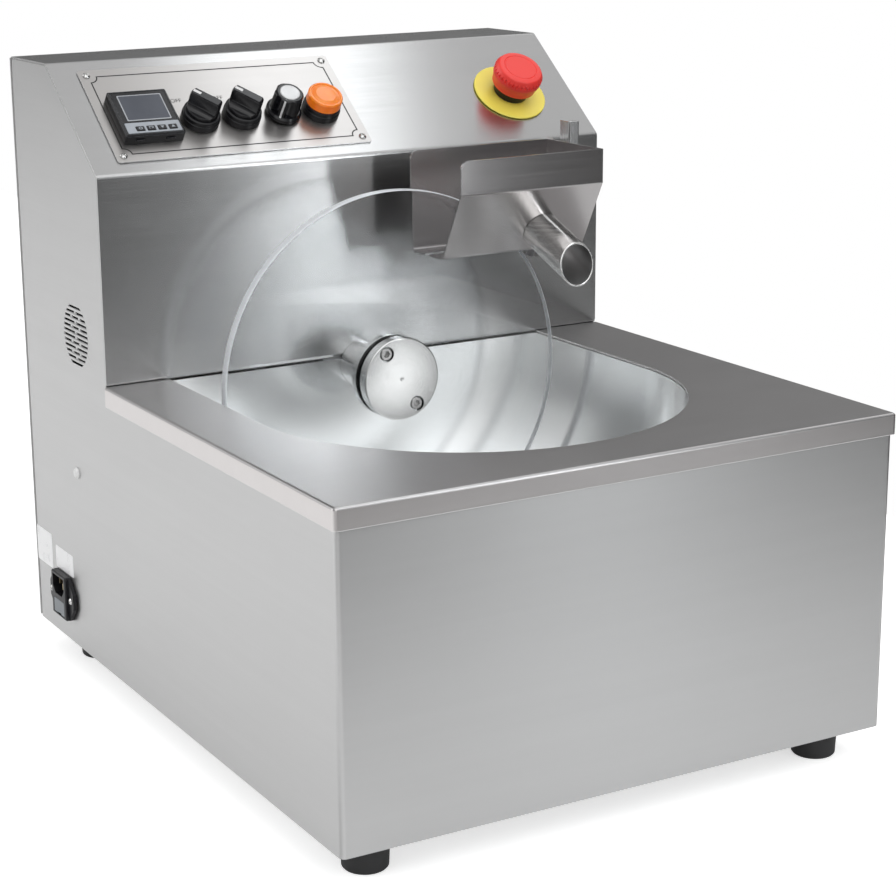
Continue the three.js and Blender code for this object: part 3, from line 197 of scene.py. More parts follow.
def bowl_material():
    """Polished steel with the faintly swept marks of a rubbed bowl."""
    n = Surface('bowl_steel', {'Metallic': 0.86})
    sweep = n.noise(3.0, 2.0, 0.5, (1, 90, 1), 0.1)
    cloud = n.noise(9.0, 2.0, 0.5)
    n.look('Base Color', n.mix(n.spread(cloud, 0.0, 1.0), (0.86, 0.865, 0.865),
                               (0.92, 0.93, 0.935)))
    n.look('Roughness', n.math('ADD', n.spread(sweep, 0.16, 0.18), n.spread(cloud, -0.01, 0.03)))
    return n.material


def clear_material():
    """Clear plastic sheet with faint wipe marks, which lets most light through its shadow."""
    n = Surface('clear_plastic', {'Transmission Weight': 1.0, 'IOR': 1.45})
    wipe = n.noise(30.0, 4.0, 0.6, distortion=1.0)
    n.look('Base Color', n.mix(n.spread(wipe, 0.0, 1.0), (0.97, 0.985, 0.99),
                               (0.985, 0.995, 1.0)))
    n.look('Roughness', n.spread(wipe, 0.0, 0.03, 0.5, 0.8))
    shadow = n.add('LightPath').outputs['Is Shadow Ray']
    n.look('Alpha', n.spread(shadow, 1.0, 0.1, 0.0, 1.0))
    return n.material


def lens_material():
    """Tinted translucent plastic, with a little light spread inside."""
    n = Surface('lamp_lens', {
        'Transmission Weight': 0.25, 'IOR': 1.45, 'Subsurface Weight': 0.4,
        'Subsurface Radius': (1.0, 0.35, 0.08), 'Subsurface Scale': 0.004,
        'Coat Weight': 0.4, 'Coat Roughness': 0.06,
        'Emission Color': (1.0, 0.2, 0.01), 'Emission Strength': 0.12})
    cloud = n.noise(120.0, 2.0, 0.5)
    n.look('Base Color', n.mix(n.spread(cloud, 0.0, 1.0), (0.98, 0.29, 0.02), (1.0, 0.36, 0.03)))
    n.look('Roughness', n.spread(cloud, 0.16, 0.24))
    return n.material


DRIVE_CENTRE = (-0.0029, 0, 0.245)
SPOUT_CENTRE = (0.1, 0, 0.34)
UP, SLANTED, ACROSS = (0, 0, 1), (0, 1, 1), (1, 0, 0)  # tangents
M = {
    'cabinet': brushed('cabinet_steel', 3 * [0.58], 0.36, 'xy', 0.0, 0.012, 0.8, UP),
    'tower': brushed('tower_steel', 3 * [0.52], 0.25, 'x', 0.0, 0.012, 0.8, SLANTED),
    'deck': brushed('deck_steel', (0.52, 0.51, 0.51), 0.31, 'x', 0.0, 0.008, 0.6, SLANTED),
    # flange: a lighter, warmer copy of the deck's steel, painted light on the lid's front and side
    # folds
    'flange': brushed('lid_side_painted_lighter', (0.68, 0.655, 0.65), 0.34, 'x', 0.0, 0.01, 0.5, UP),
    'plate': brushed('plate_steel', (0.5, 0.485, 0.475), 0.3, 'x', 0.0, 0.012, 0.7, SLANTED),
    'trough': brushed('trough_steel', (0.47, 0.455, 0.455), 0.21, 'x', 0.0, 0.01, 0.82, SLANTED),
    # edge: a pale steel painted on cut faces and bevels, a painted highlight along the sheets'
    # edges
    'edge': brushed('edge_highlight_steel', 3 * [0.86], 0.26, 'x', 0.05, 0.04, 0.0),
    'inside': brushed('inner_steel', 3 * [0.5], 0.42, 'y', 0.3, 0.1, 0.0),
    'bar': brushed('bar_steel', 3 * [0.72], 0.26, 'z', 0.1, 0.06, 0.3, ACROSS),
    # bolt: a darker steel for the hub's socket screws, painted shade of their counterbores
    'bolt': brushed('bolt_steel', 3 * [0.42], 0.24, 'x', 0.05, 0.05, 0.0),
    'screw': brushed('screw_steel', (0.7, 0.7, 0.69), 0.2, 'x', 0.05, 0.05, 0.0),
    'copper': brushed('contact_metal', (0.72, 0.6, 0.36), 0.3, 'x', 0.05, 0.05, 0.0),
    'spout': spun('spout_steel', (0.9, 0.895, 0.88), 0.18, SPOUT_CENTRE, 'y', 900.0, 0.05),
    'hub': spun('hub_steel', (0.70, 0.71, 0.71), 0.2, DRIVE_CENTRE),
    'shaft': spun('shaft_steel', 3 * [0.68], 0.22, DRIVE_CENTRE),
    'casting': moulded('cast_metal', (0.34, 0.35, 0.36), 0.5, 700.0, 0.3,
                       values={'Metallic': 0.7}),
    'rubber': moulded('foot_rubber', (0.022, 0.022, 0.023), 0.62, 1200.0, 0.2),
    'gasket': moulded('gasket_rubber', (0.016, 0.016, 0.017), 0.55, 1200.0, 0.1),
    'black': moulded('black_plastic', (0.009, 0.009, 0.011), 0.34, 1500.0, 0.03, shine=0.4),
    'gloss': moulded('gloss_black', (0.007, 0.007, 0.009), 0.2, 1500.0, 0.01, shine=0.45),
    # bezel: grey on the controller case's bevelled edges, a painted highlight along its black
    # edges
    'bezel': moulded('bezel_edge_highlight', (0.20, 0.22, 0.24), 0.34, 1500.0, 0.05),
    'strip': moulded('strip_plastic', (0.40, 0.43, 0.47), 0.38, 1600.0, 0.05),
    'screen': moulded('screen_glass', (0.085, 0.093, 0.115), 0.2, 1500.0, 0.0, 0.06, 0.3),
    'frame': moulded('screen_frame', (0.45, 0.47, 0.5), 0.35, 1500.0, 0.02),
    'white': moulded('white_paint', 3 * [0.82], 0.4, 1500.0, 0.03, 0.04),
    'paper': moulded('sticker_film', (0.93, 0.935, 0.94), 0.3, 1500.0, 0.04, 0.03),
    'ink': moulded('engraving_ink', (0.018, 0.017, 0.018), 0.5, 1500.0, 0.05),
    'red': moulded('red_plastic', (0.96, 0.05, 0.04), 0.38, 1300.0, 0.05, 0.03),
    'yellow': moulded('yellow_plastic', (0.98, 0.85, 0.13), 0.4, 1300.0, 0.05, 0.03),
    'grey': moulded('grey_plastic', (0.22, 0.24, 0.26), 0.4, 1500.0, 0.06),
    'heater': moulded('heater_silicone', (0.42, 0.1, 0.05), 0.6, 500.0, 0.4),
    # rim: the clear disc's edge painted pale and nearly opaque, a painted highlight for its bright
    # edge line
    'rim': moulded('disc_rim_highlight', (0.9, 0.93, 0.97), 0.3, 1200.0, 0.08, 0.03,
                   values={'Transmission Weight': 0.2}),
    'board': moulded('circuit_board', (0.02, 0.13, 0.05), 0.4, 900.0, 0.1),
    'bowl': bowl_material(),
    'clear': clear_material(),
    'lens': lens_material(),
}


# ---------------------------------------------------------------- shapes, in millimetres

def rounded_corner(before, corner, after, radius, steps):
    """The points of an arc that rounds one corner of an outline."""
    corner = Vector(corner)
    a, b = Vector(before) - corner, Vector(after) - corner
    room = min(a.length, b.length) * 0.499  # so that two roundings on one side don't meet
    a.normalize(), b.normalize()
    half = a.angle(b) / 2
    if radius <= 0 or abs(half - math.pi / 2) < 1e-4:
        return [corner]
    reach = min(radius / math.tan(half), room)
    radius = reach * math.tan(half)
    start, end = corner + a * reach, corner + b * reach
    centre = corner + (a + b).normalized() * math.hypot(radius, reach)
    u, v = start - centre, end - centre
    sweep = u.angle(v)
    return [centre + (u * math.sin(sweep * (1 - k / steps)) + v * math.sin(sweep * k / steps))
            / math.sin(sweep) for k in range(steps + 1)]


def outline(points, closed=True, steps=5):
    """Points (x, y) or (x, y, radius of that corner) as a list of plain points."""
    out = []
    for i, point in enumerate(points):
        if not closed and i in (0, len(points) - 1):
            out.append(Vector(point[:2]))
            continue
        radius = point[2] if len(point) > 2 else 0
        out += rounded_corner(points[i - 1][:2], point[:2], points[(i + 1) % len(points)][:2],
                              radius, steps)
    return out


def rectangle(width, height, radius=0.0, x=0.0, y=0.0):
    w, h = width / 2, height / 2
    return [(x - w, y - h, radius), (x + w, y - h, radius), (x + w, y + h, radius),
            (x - w, y + h, radius)]


def arc(radius, start, sweep, steps, x=0.0, y=0.0):
    return [(x + radius * math.cos(a), y + radius * math.sin(a))
            for a in (start + sweep * k / steps for k in range(steps + 1))]


def mesh_from(bm):
    bmesh.ops.recalc_face_normals(bm, faces=bm.faces)
    mesh = bpy.data.meshes.new('shape')
    bm.to_mesh(mesh)
    bm.free()
    return mesh


def loft(*levels):
    """A closed shape through (outline, height) levels that have as many points."""
    bm = bmesh.new()
    rows = [[bm.verts.new((p.x, p.y, z)) for p in flat] for flat, z in levels]
    bm.faces.new(rows[0][::-1])
    bm.faces.new(rows[-1])
    for a, b in zip(rows, rows[1:]):
        for i in range(len(a)):
            j = (i + 1) % len(a)
            bm.faces.new((a[i], a[j], b[j], b[i]))
    return mesh_from(bm)


def prism(points, z0, z1):
    """An outline drawn out along z."""
    flat = outline(points)
    return loft((flat, z0), (flat, z1))


def chamfered_box(width, height, radius, z0, z1, chamfer):
    """A rounded box whose front edge is chamfered."""
    base = outline(rectangle(width, height, radius))
    front = outline(rectangle(width - 2 * chamfer, height - 2 * chamfer,
                              max(radius - chamfer, 0.3)))
    return loft((base, z0), (base, z1 - chamfer), (front, z1))


def turned(profile, sides=96):
    """A closed profile of (radius, height[, rounding]) turned about z."""
    is_ring = profile[0][0] > 0  # it stays off the axis
    bm = bmesh.new()
    rows = []
    for p in outline(profile, is_ring, 4):
        if p.x < 1e-6:
            rows.append([bm.verts.new((0, 0, p.y))])
        else:
            turns = [2 * math.pi * k / sides for k in range(sides)]
            rows.append([bm.verts.new((p.x * math.cos(a), p.x * math.sin(a), p.y))
                         for a in turns])
    for a, b in list(zip(rows, rows[1:])) + ([(rows[-1], rows[0])] if is_ring else []):
        for k in range(sides):
            j = (k + 1) % sides
            corners = [a[k % len(a)], a[j % len(a)], b[j % len(b)], b[k % len(b)]]
            unique = list(dict.fromkeys(corners))
            if len(unique) > 2:
                bm.faces.new(unique)
    return mesh_from(bm)


def rod(radius, z0, z1, sides, x=0.0, y=0.0):
    return moved(turned([(0, z0), (radius, z0), (radius, z1), (0, z1)], sides), at(x, y))


def ribbon(points, width, z0, z1, closed=True):
    """A flat line of even width along a path."""
    path = [Vector(p) for p in points]
    count = len(path)
    left, right = [], []
    for i, p in enumerate(path):
        a = path[(i - 1) % count] if closed or i else p
        b = path[(i + 1) % count] if closed or i < count - 1 else p
        d1, d2 = p - a, b - p
        d1 = d1.normalized() if d1.length else d2.normalized()
        d2 = d2.normalized() if d2.length else d1
        normal = Vector((-(d1.y + d2.y), d1.x + d2.x)).normalized()
        scale = 1 / max(0.5, normal.dot(Vector((-d1.y, d1.x))))
        left.append(p + normal * width / 2 * scale)
        right.append(p - normal * width / 2 * scale)
    bm = bmesh.new()
    rows = [[bm.verts.new((q.x, q.y, z)) for q in side]
            for side, z in ((left, z1), (right, z1), (right, z0), (left, z0))]
    for i in range(count if closed else count - 1):
        j = (i + 1) % count
        for a, b in zip(rows, rows[1:] + rows[:1]):
            bm.faces.new((a[i], a[j], b[j], b[i]))
    return mesh_from(bm)


def moved(mesh, matrix):
    mesh.transform(matrix)
    return mesh


def linked(name, data):
    """A new object in the scene."""
    thing = bpy.data.objects.new(name, data)
    bpy.context.scene.collection.objects.link(thing)
    return thing


def evaluated(thing):
    """An object's mesh with its modifiers applied; the object goes."""
    bpy.context.view_layer.update()
    graph = bpy.context.evaluated_depsgraph_get()
    done = bpy.data.meshes.new_from_object(thing.evaluated_get(graph))
    bpy.data.objects.remove(thing)
    return done


def combined(mesh, *tools, how='DIFFERENCE'):
    """A mesh with the tools cut out of it, or joined to it."""
    thing = linked('temporary', mesh)
    helpers = [linked('temporary', tool) for tool in tools]
    for helper in helpers:
        modifier = thing.modifiers.new('cut', 'BOOLEAN')
        modifier.operation, modifier.solver, modifier.object = how, 'EXACT', helper
    done = evaluated(thing)
    for helper in helpers:
        bpy.data.objects.remove(helper)
    return done


def solid_from(node, whole=True):
    """A CAD node's shape with its points joined and, for a bevel, its flat faces whole."""
    bm = bmesh.new()
    bm.from_mesh(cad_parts[node].data)
    bmesh.ops.remove_doubles(bm, verts=bm.verts, dist=2e-6)
    if whole:
        bmesh.ops.dissolve_limit(bm, angle_limit=math.radians(1), verts=bm.verts, edges=bm.edges)
    return moved(mesh_from(bm), Matrix.Scale(1 / MM, 4))


def joined(*parts):
    """Several (mesh, material key) pairs as one mesh, with the list of its keys."""
    bm = bmesh.new()
    keys = []
    for mesh, key in parts:
        if key not in keys:
            keys.append(key)
        start = len(bm.faces)
        bm.from_mesh(mesh)
        bm.faces.ensure_lookup_table()
        for face in bm.faces[start:]:
            face.material_index = keys.index(key)
    mesh = bpy.data.meshes.new('joined')
    bm.to_mesh(mesh)
    bm.free()
    return mesh, keys


def piece(name, shape, look=None, body='machine', replaced=(), matrix=Matrix(), bevel=0.2,
          segments=2, angle=38, edge=None):
    """One finished piece: in place, bevelled, smooth where it is round, riding on its body.

    The shape is a mesh, with its look, or a pair of a mesh and the list of its looks.
    """
    shape, keys = shape if isinstance(shape, tuple) else (shape, [look])
    shape.transform(matrix)
    shape.transform(Matrix.Scale(MM, 4))
    shape.name = name
    thing = linked(name, shape)
    # clearing the slots would reset the faces' material indices
    indices = [polygon.material_index for polygon in shape.polygons]
    shape.materials.clear()
    for key in keys + ([edge] if edge else []):
        shape.materials.append(M[key])
    for polygon, index in zip(shape.polygons, indices):
        polygon.material_index = min(index, len(keys) - 1)
        polygon.use_smooth = True
    shape.set_sharp_from_angle(angle=math.radians(angle))
    if bevel:
        modifier = thing.modifiers.new('edges', 'BEVEL')
        modifier.width, modifier.segments = bevel * MM, segments
        modifier.limit_method, modifier.angle_limit = 'ANGLE', math.radians(angle)
        modifier.miter_outer = 'MITER_ARC'
        # the bevel's faces take the edge look, a painted highlight where the edges catch the light
        if edge:
            modifier.material = len(keys)
    weighted = thing.modifiers.new('normals', 'WEIGHTED_NORMAL')
    weighted.mode, weighted.weight, weighted.keep_sharp = 'FACE_AREA', 80, True
    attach(thing, body)
    if replaced:
        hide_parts(*replaced)
    return thing


def cut_edges(mesh, width=1.7):
    """Gives slot 1 to the narrow faces where a sheet was cut, painted brighter than its brushed
    sides as the highlight of edges that catch the light.
    """
    bm = bmesh.new()
    bm.from_mesh(mesh)
    for face in bm.faces:
        longest = sorted(face.edges, key=lambda e: e.calc_length())[-2:]
        if face.calc_area() / longest[-1].calc_length() < width and all(
                len(e.link_faces) == 2 and e.calc_face_angle(0) > math.radians(60)
                for e in longest):
            face.material_index = 1
    bm.to_mesh(mesh)
    bm.free()
    return mesh


def dressed(node, look, body='machine', bevel=0.25, segments=2, angle=38, edge=None):
    """A piece with a CAD node's own shape."""
    shape = solid_from(node, bevel > 0)
    if edge:
        shape = (cut_edges(shape), [look, edge])
    return piece(node + '_skin', shape, look, body, [node], bevel=bevel, segments=segments,
                 angle=angle, edge=edge)


def dress(look, *nodes):
    """CAD nodes kept as they are, with a finish of their own."""
    for node in nodes:
        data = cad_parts[node].data
        data.materials.clear()
        data.materials.append(M[look])


# ---------------------------------------------------------------- cabinet

dressed('cabinet_wrap', 'cabinet', bevel=0, angle=50)
dressed('tower_sheet', 'tower', bevel=0.35, angle=30, edge='edge')
dressed('base_tray', 'inside', bevel=0.2, angle=50)
dressed('rear_cover', 'cabinet', bevel=0, angle=50)


def bowl_outline(radius, rear, steps):
    """The bowl seen from above: a half circle ahead of straight sides."""
    return (arc(radius, math.pi, math.pi, steps, AXIS, BOWL_Y)
            + [(AXIS + radius, rear), (AXIS - radius, rear)])


def deck_lid():
    """The pan-shaped lid: rounded folds all round and the bowl's opening."""
    x0, x1, y0, y1, top = SHIFT - 216.8, SHIFT + 216.8, -266.8, LID_REAR, LID_TOP
    bottom, corner, fold_radius, sheet, past = 237.0, 3.4, 2.2, 1.5, 5
    slab = prism([(x0, y0, corner), (x1, y0, corner), (x1, y1), (x0, y1)], bottom, top)
    thing = linked('temporary', slab)
    fold = thing.modifiers.new('fold', 'BEVEL')
    fold.width, fold.segments, fold.limit_method = fold_radius, 5, 'WEIGHT'
    weight = slab.attributes.new('bevel_weight_edge', 'FLOAT', 'EDGE')
    for edge in slab.edges:
        a, b = (slab.vertices[i].co for i in edge.vertices)
        on_top = min(a.z, b.z) > top - 0.01
        at_rear = min(a.y, b.y) > y1 - 0.01
        weight.data[edge.index].value = 1.0 if on_top and not at_rear else 0.0
    slab = evaluated(thing)
    hollow = prism([(x0 + sheet, y0 + sheet, 2.0), (x1 - sheet, y0 + sheet, 2.0),
                    (x1 - sheet, y1 + past), (x0 + sheet, y1 + past)], 220.0, top - sheet)
    opening = prism(bowl_outline(BOWL_RADIUS, y1 + past, 120), 240.0, 260.0)
    lid = combined(slab, hollow, opening)
    # the lid's folds and sides take the flange look: painted light, a lighter copy of the same
    # sheet's steel
    for face in lid.polygons:
        face.material_index = 1 if face.normal.z < 0.3 and face.normal.y < 0.5 else 0
    return lid, ['deck', 'flange']


piece('deck_lid_skin', deck_lid(), replaced=['deck_lid'], bevel=0.4, segments=3, angle=50,
      edge='edge')


def bowl():
    """A half cylinder that ends in a quarter sphere, with a flat back and a rim under the lid."""
    wall, rim_drop, columns, rows, lengths = 1.5, LID_TOP - 250.2, 96, 48, 6

    def line(size, rear, angle):
        """Points from the back along the half cylinder, then round the nose up to the rim."""
        x, z = size * math.cos(angle), size * math.sin(angle)
        points = [(AXIS + x, BOWL_Y + (rear - BOWL_Y) * (1 - j / lengths), LID_TOP + z)
                  for j in range(lengths + 1)]
        for j in range(1, rows + 1):
            bend = math.cos(math.pi / 2 * j / rows)
            across, drop = x * bend, (z + rim_drop) * bend - rim_drop
            ahead = math.sqrt(max(size ** 2 - across ** 2 - drop ** 2, 0))
            points.append((AXIS + across, BOWL_Y - ahead, LID_TOP + drop))
        return points

    bm = bmesh.new()
    rims = []
    for size, rear in ((BOWL_RADIUS, WALL_Y), (BOWL_RADIUS + wall, WALL_Y + wall)):
        lift = math.asin(rim_drop / size)
        angles = [math.pi + lift + (math.pi - 2 * lift) * k / columns for k in range(columns + 1)]
        lines = [[bm.verts.new(p) for p in line(size, rear, a)] for a in angles]
        for a, b in zip(lines, lines[1:]):
            for j in range(len(a) - 1):
                bm.faces.new((a[j], a[j + 1], b[j + 1], b[j]))
        bm.faces.new([points[0] for points in lines])
        rims.append(lines[0] + lines[-1][-2::-1])
    inner, outer = rims
    for a, b, c, d in zip(inner, inner[1:], outer[1:], outer):
        bm.faces.new((a, b, c, d))
    bm.faces.new((inner[0], outer[0], outer[-1], inner[-1]))
    bmesh.ops.remove_doubles(bm, verts=bm.verts, dist=1e-4)
    return mesh_from(bm)


def bowl_rim():
    """The flat rim by which the bowl hangs under the lid."""
    outer, inner, bottom, top, past = BOWL_RADIUS + 10, BOWL_RADIUS + 1, 248.7, 250.15, 5
    return combined(prism(bowl_outline(outer, LID_REAR, 96), bottom, top),
                    prism(bowl_outline(inner, LID_REAR + past, 96), 240.0, 255.0))


piece('bowl_shell', bowl(), 'bowl', replaced=['bowl'], bevel=0, angle=30)
piece('bowl_flange', bowl_rim(), 'bowl', bevel=0)


def foot():
    """A moulded foot with a softened tread, a draft and a stud."""
    return turned([(0, 1.0), (9.0, 1.0, 0.5), (9.8, 0, 0.5), (14.2, 0, 1.0), (15.5, 1.6, 1.2),
                   (16.5, 23.7, 0.8), (4, 23.7), (4, 32.0, 0.6), (0, 32.0)], 64)


for row, y in (('front', -234), ('rear', 217)):
    for side, x in (('left', -182), ('right', 182)):
        corner = 'foot_%s_%s' % (row, side)
        piece(corner + '_moulding', foot(), 'rubber', replaced=[corner],
              matrix=at(x + SHIFT, y), bevel=0)


def pan_screw(radius, height, cross=True):
    """A domed screw head, as a rule with a cross recess."""
    head = turned([(0, 0), (radius, 0), (radius, height * 0.35, 0.2),
                   (radius * 0.55, height, radius), (0, height)], 40)
    if not cross:
        return head
    arm, width = radius * 1.08, radius * 0.26
    return combined(head, *(prism(rectangle(*size), height * 0.45, height * 2)
                            for size in ((arm, width), (width, arm))))


def screw(name, radius, height, matrix, look='screw', cross=True):
    piece(name, pan_screw(radius, height, cross), look, matrix=matrix, bevel=0.05)


# these heads reach no further out than the rear cover's face, so its sheet hides them
for i, (x, z) in enumerate([(x, z) for x in (-203, 203) for z in (40, 252, 464)]):
    screw('cover_screw_%d' % (i + 1), 3.2, 1.7,
          at(SHIFT + x, REAR_Y, z) @ turn(-90, 'X') @ at(0, 0, 0.05))
screw('side_screw_1', 4.6, 2.6, SIDE @ at(-163, 170), 'white', False)

for i, (width, height, x, y) in enumerate(((34, 29, -246, 88.5), (38, 18, -202, 88))):
    piece('side_sticker_%d' % (i + 1), prism(rectangle(width, height, 1.2), 0.02, 0.12), 'paper',
          matrix=SIDE @ at(x, y), bevel=0)


# ---------------------------------------------------------------- drive and disc

HUB_SCREWS = [(24 * math.cos(math.radians(a)), -24 * math.sin(math.radians(a)))
              for a in (122, 302)]
HUB_RADIUS = 31.5
DISC_RADIUS, DISC_FRONT, DISC_BACK, DISC_CHAMFER = 141, -58, -50, 0.8
DISC_FLAT = DISC_RADIUS - DISC_CHAMFER


def hub_front():
    """The front hub, with two sunk screw holes and a centre dimple."""
    face, back = -68.1, -59.4
    body = turned([(0, face), (HUB_RADIUS, face, 1.1), (HUB_RADIUS, back, 0.3), (0, back)], 128)
    dimple = turned([(0, -72), (2.1, -72), (1.6, -67.8), (0.2, -67.0), (0, -67.0)], 32)
    return combined(body, *(rod(5.9, -72, -62.6, 48, x, y) for x, y in HUB_SCREWS), dimple)


def hub_screw():
    """A socket screw with a chamfered head and a hexagonal socket."""
    head = turned([(0, -67.7), (4.3, -67.7, 0.2), (5.0, -67.0, 0.2), (5.0, -62.7), (3, -62.7),
                   (3, -42.8, 0.4), (0, -42.8)], 48)
    return combined(head, prism(arc(2.75, 0, math.pi * 5 / 3, 5), -70, -64.6))


def disc():
    """The clear disc with its bores; its rim is painted pale and nearly opaque as the bright edge
    line of the clear sheet, a painted highlight.
    """
    body = turned([(0, DISC_FRONT), (DISC_FLAT, DISC_FRONT),
                   (DISC_RADIUS, DISC_FRONT + DISC_CHAMFER),
                   (DISC_RADIUS, DISC_BACK - DISC_CHAMFER), (DISC_FLAT, DISC_BACK),
                   (0, DISC_BACK)], 240)
    body = combined(body, rod(15.3, -70, -40, 64),
                    *(rod(3.3, -70, -40, 32, x, y) for x, y in HUB_SCREWS))
    for polygon in body.polygons:
        if polygon.center.xy.length > DISC_FLAT - 0.1:
            polygon.material_index = 1
    return body, ['clear', 'rim']


def on_drive(name, shape, look, node, body='disc_drive', matrix=DRIVE, **more):
    piece(name, shape, look, body, [node], matrix, **more)


on_drive('clear_disc', disc(), None, 'disc', bevel=0, angle=20)
on_drive('front_hub', hub_front(), 'hub', 'hub_front', bevel=0.15)
# the socket screws take the darker steel, painted shade where they sit in the hub's counterbores
for i, (x, y) in enumerate(HUB_SCREWS):
    on_drive('socket_screw_%d' % (i + 1), hub_screw(), 'bolt', 'hub_screw_%d' % (i + 1),
             matrix=DRIVE @ at(x, y) @ turn(20 * i), bevel=0.12)
on_drive('hub_gasket_ring',
         turned([(15, -59.1), (29.6, -59.1, 0.2), (29.6, -58.3, 0.2), (15, -58.3)]),
         'gasket', 'hub_gasket', bevel=0)
on_drive('rear_hub',
         turned([(8.1, -54.1), (15, -54.1), (15, -49.7), (HUB_RADIUS, -49.7, 0.3),
                 (HUB_RADIUS, -43.0, 1.1), (14, -43.0, 0.8), (14, -39.1, 0.5), (8.1, -39.1)], 128),
         'hub', 'hub_rear', bevel=0)
on_drive('sleeve',
         turned([(10.5, -32.2), (13.3, -32.2), (13.3, -38.8), (18, -38.8, 0.9), (18, -0.3, 0.3),
                 (10.5, -0.3)]),
         'shaft', 'shaft_sleeve', 'machine', bevel=0)
dress('gasket', 'shaft_seal')
dress('shaft', 'drive_shaft', 'gearbox_shaft', 'shaft_coupling', 'shaft_bearing')
dress('casting', 'bearing_housing', 'motor_bracket', 'gearbox', 'motor')


# ---------------------------------------------------------------- scraper trough

dressed('hopper_trough', 'trough', 'hopper', bevel=0.4, angle=50, edge='edge')
dressed('hopper_hanger', 'trough', 'hopper', bevel=0.4, angle=50, edge='edge')
dressed('hopper_post', 'bar', bevel=0.4, segments=3)


def spout():
    """A thin polished tube, cut along the trough's slope at its root and nearly upright ahead."""
    sheet_depth, sheet_height, foot_y, root_x, root_z = 27.6, 50.8, -24, 80, 16.8
    bore, radius, length, sheet_gap, size = 13.2, 14.4, 60, 0.3, 400
    slant = math.atan2(sheet_depth, sheet_height)
    place = (at(root_x, foot_y - sheet_depth * root_z / sheet_height, root_z)
             @ turn(-5) @ turn(107, 'X'))
    tube = moved(turned([(bore, -30), (radius, -30), (radius, 120), (bore, 120)], 128), place)
    wide = rectangle(size, size)
    behind_sheet = moved(prism(wide, 0, size), at(root_x, foot_y - sheet_gap / math.cos(slant))
                         @ turn(math.degrees(slant), 'X') @ turn(-90, 'X'))
    past_mouth = moved(prism(wide, 0, size), Matrix.Translation(place @ Vector((0, 0, length)))
                       @ turn(-10, 'X') @ turn(90, 'X'))
    tube = combined(tube, behind_sheet, past_mouth)
    axis, root = place.to_3x3() @ Vector((0, 0, 1)), place.translation
    for face in tube.polygons:
        out = face.center - root
        out -= axis * out.dot(axis)
        face.material_index = 1 if face.normal.dot(out) < -6 else 0  # the bore
    return tube, ['spout', 'inside']


piece('spout_tube', spout(), None, 'hopper', ['hopper_spout'], HOPPER, bevel=0.3, segments=3,
      angle=50)


# ---------------------------------------------------------------- control panel

dressed('control_plate', 'plate', bevel=0.25, edge='edge')

ROW_Y = 48  # the fittings' centres up the panel
SWITCHES = (('heater', -116.5), ('motor', -82.5))


def plate_border():
    """The engraved frame, notched round the corner screws."""
    x0, x1, y0, y1, notch = -187.0, 6.5, 18.7, 100.5, 6.0
    points = []
    for x, y, quarters in ((x0, y0, 1), (x1, y0, 2), (x1, y1, 3), (x0, y1, 0)):
        points += arc(notch, quarters * math.pi / 2, -math.pi / 2, 8, x, y)
    return ribbon(points, 1.0, PLATE - 0.1, PLATE + 0.05)


piece('plate_border_line', plate_border(), 'ink', matrix=PANEL, bevel=0)
for i, (x, y) in enumerate([(x, y) for x in (-188.5, 8.0) for y in (17.2, 102.0)]):
    screw('plate_screw_%d' % (i + 1), 2.9, 1.9, PANEL @ at(x, y, PLATE) @ turn(25 + 40 * i))


def words(text, x, y, size=5.2, depth=0.05):
    """Printed letters as a thin solid."""
    curve = bpy.data.curves.new('letters', 'FONT')
    curve.body, curve.size, curve.extrude = text, size, depth
    curve.align_x, curve.align_y, curve.resolution_u = 'CENTER', 'CENTER', 3
    return moved(evaluated(linked('letters', curve)), at(x, y, PLATE))


for name, x in SWITCHES:
    for text, dx in (('OFF', -11.5), ('ON', 9.5)):
        piece('%s_%s_mark' % (name, text.lower()), words(text, x + dx, 69.5), 'ink',
              matrix=PANEL, bevel=0)

CONTROLLER = PANEL @ at(-160.5, 51.3)
BEZEL_TOP = SEAT + 9.0  # the controller's face
KEY_Y = -17.0
KEYS_X = [2.2 + (i - 1.5) * 8.6 for i in range(4)]


def controller():
    """The case: a bezel with a chamfered front, a recessed face and the housing behind."""
    bezel = combined(chamfered_box(47.0, 47.0, 1.6, SEAT, BEZEL_TOP, 1.2),
                     prism(rectangle(43.0, 43.0, 1.2), BEZEL_TOP - 0.7, BEZEL_TOP + 5))
    bezel = combined(bezel, prism(rectangle(60, 1.0, 0, 0, -24), SEAT + 2.2, SEAT + 3.0))
    housing = prism(rectangle(44.4, 44.4, 0.8), -72.0, SEAT + 0.2)
    inner = prism(rectangle(42.6, 31.5, 0.8, 0, 5.6), BEZEL_TOP - 0.9, BEZEL_TOP - 0.25)
    strip = prism(rectangle(42.6, 10.6, 0.6, 0, -15.9), BEZEL_TOP - 0.9, BEZEL_TOP + 0.1)
    strip = combined(strip, *(prism(rectangle(6.9, 5.1, 0.7, x, KEY_Y), BEZEL_TOP - 2.6,
                                    BEZEL_TOP + 3) for x in KEYS_X))
    clips = [prism(rectangle(7, 1.4, 0.4, x, -23.6), SEAT + 3.5, SEAT + 5.0) for x in (-12, 12)]
    return joined((bezel, 'gloss'), (housing, 'black'), (inner, 'gloss'), (strip, 'strip'),
                  *((clip, 'black') for clip in clips))


# the case's bevels take the bezel look, a painted highlight on the black edges
piece('controller_case', controller(), replaced=['temperature_controller'], matrix=CONTROLLER,
      bevel=0.15, edge='bezel')
pane = [(prism(rectangle(35.0, 26.6, 0.8, 0, 5.0), BEZEL_TOP - 0.28, BEZEL_TOP - 0.1), 'frame'),
        (prism(rectangle(33.2, 24.8, 0.5, 0, 5.0), BEZEL_TOP - 0.2, BEZEL_TOP - 0.02), 'screen')]
piece('controller_display', joined(*pane), replaced=['controller_window'], matrix=CONTROLLER,
      bevel=0.06)


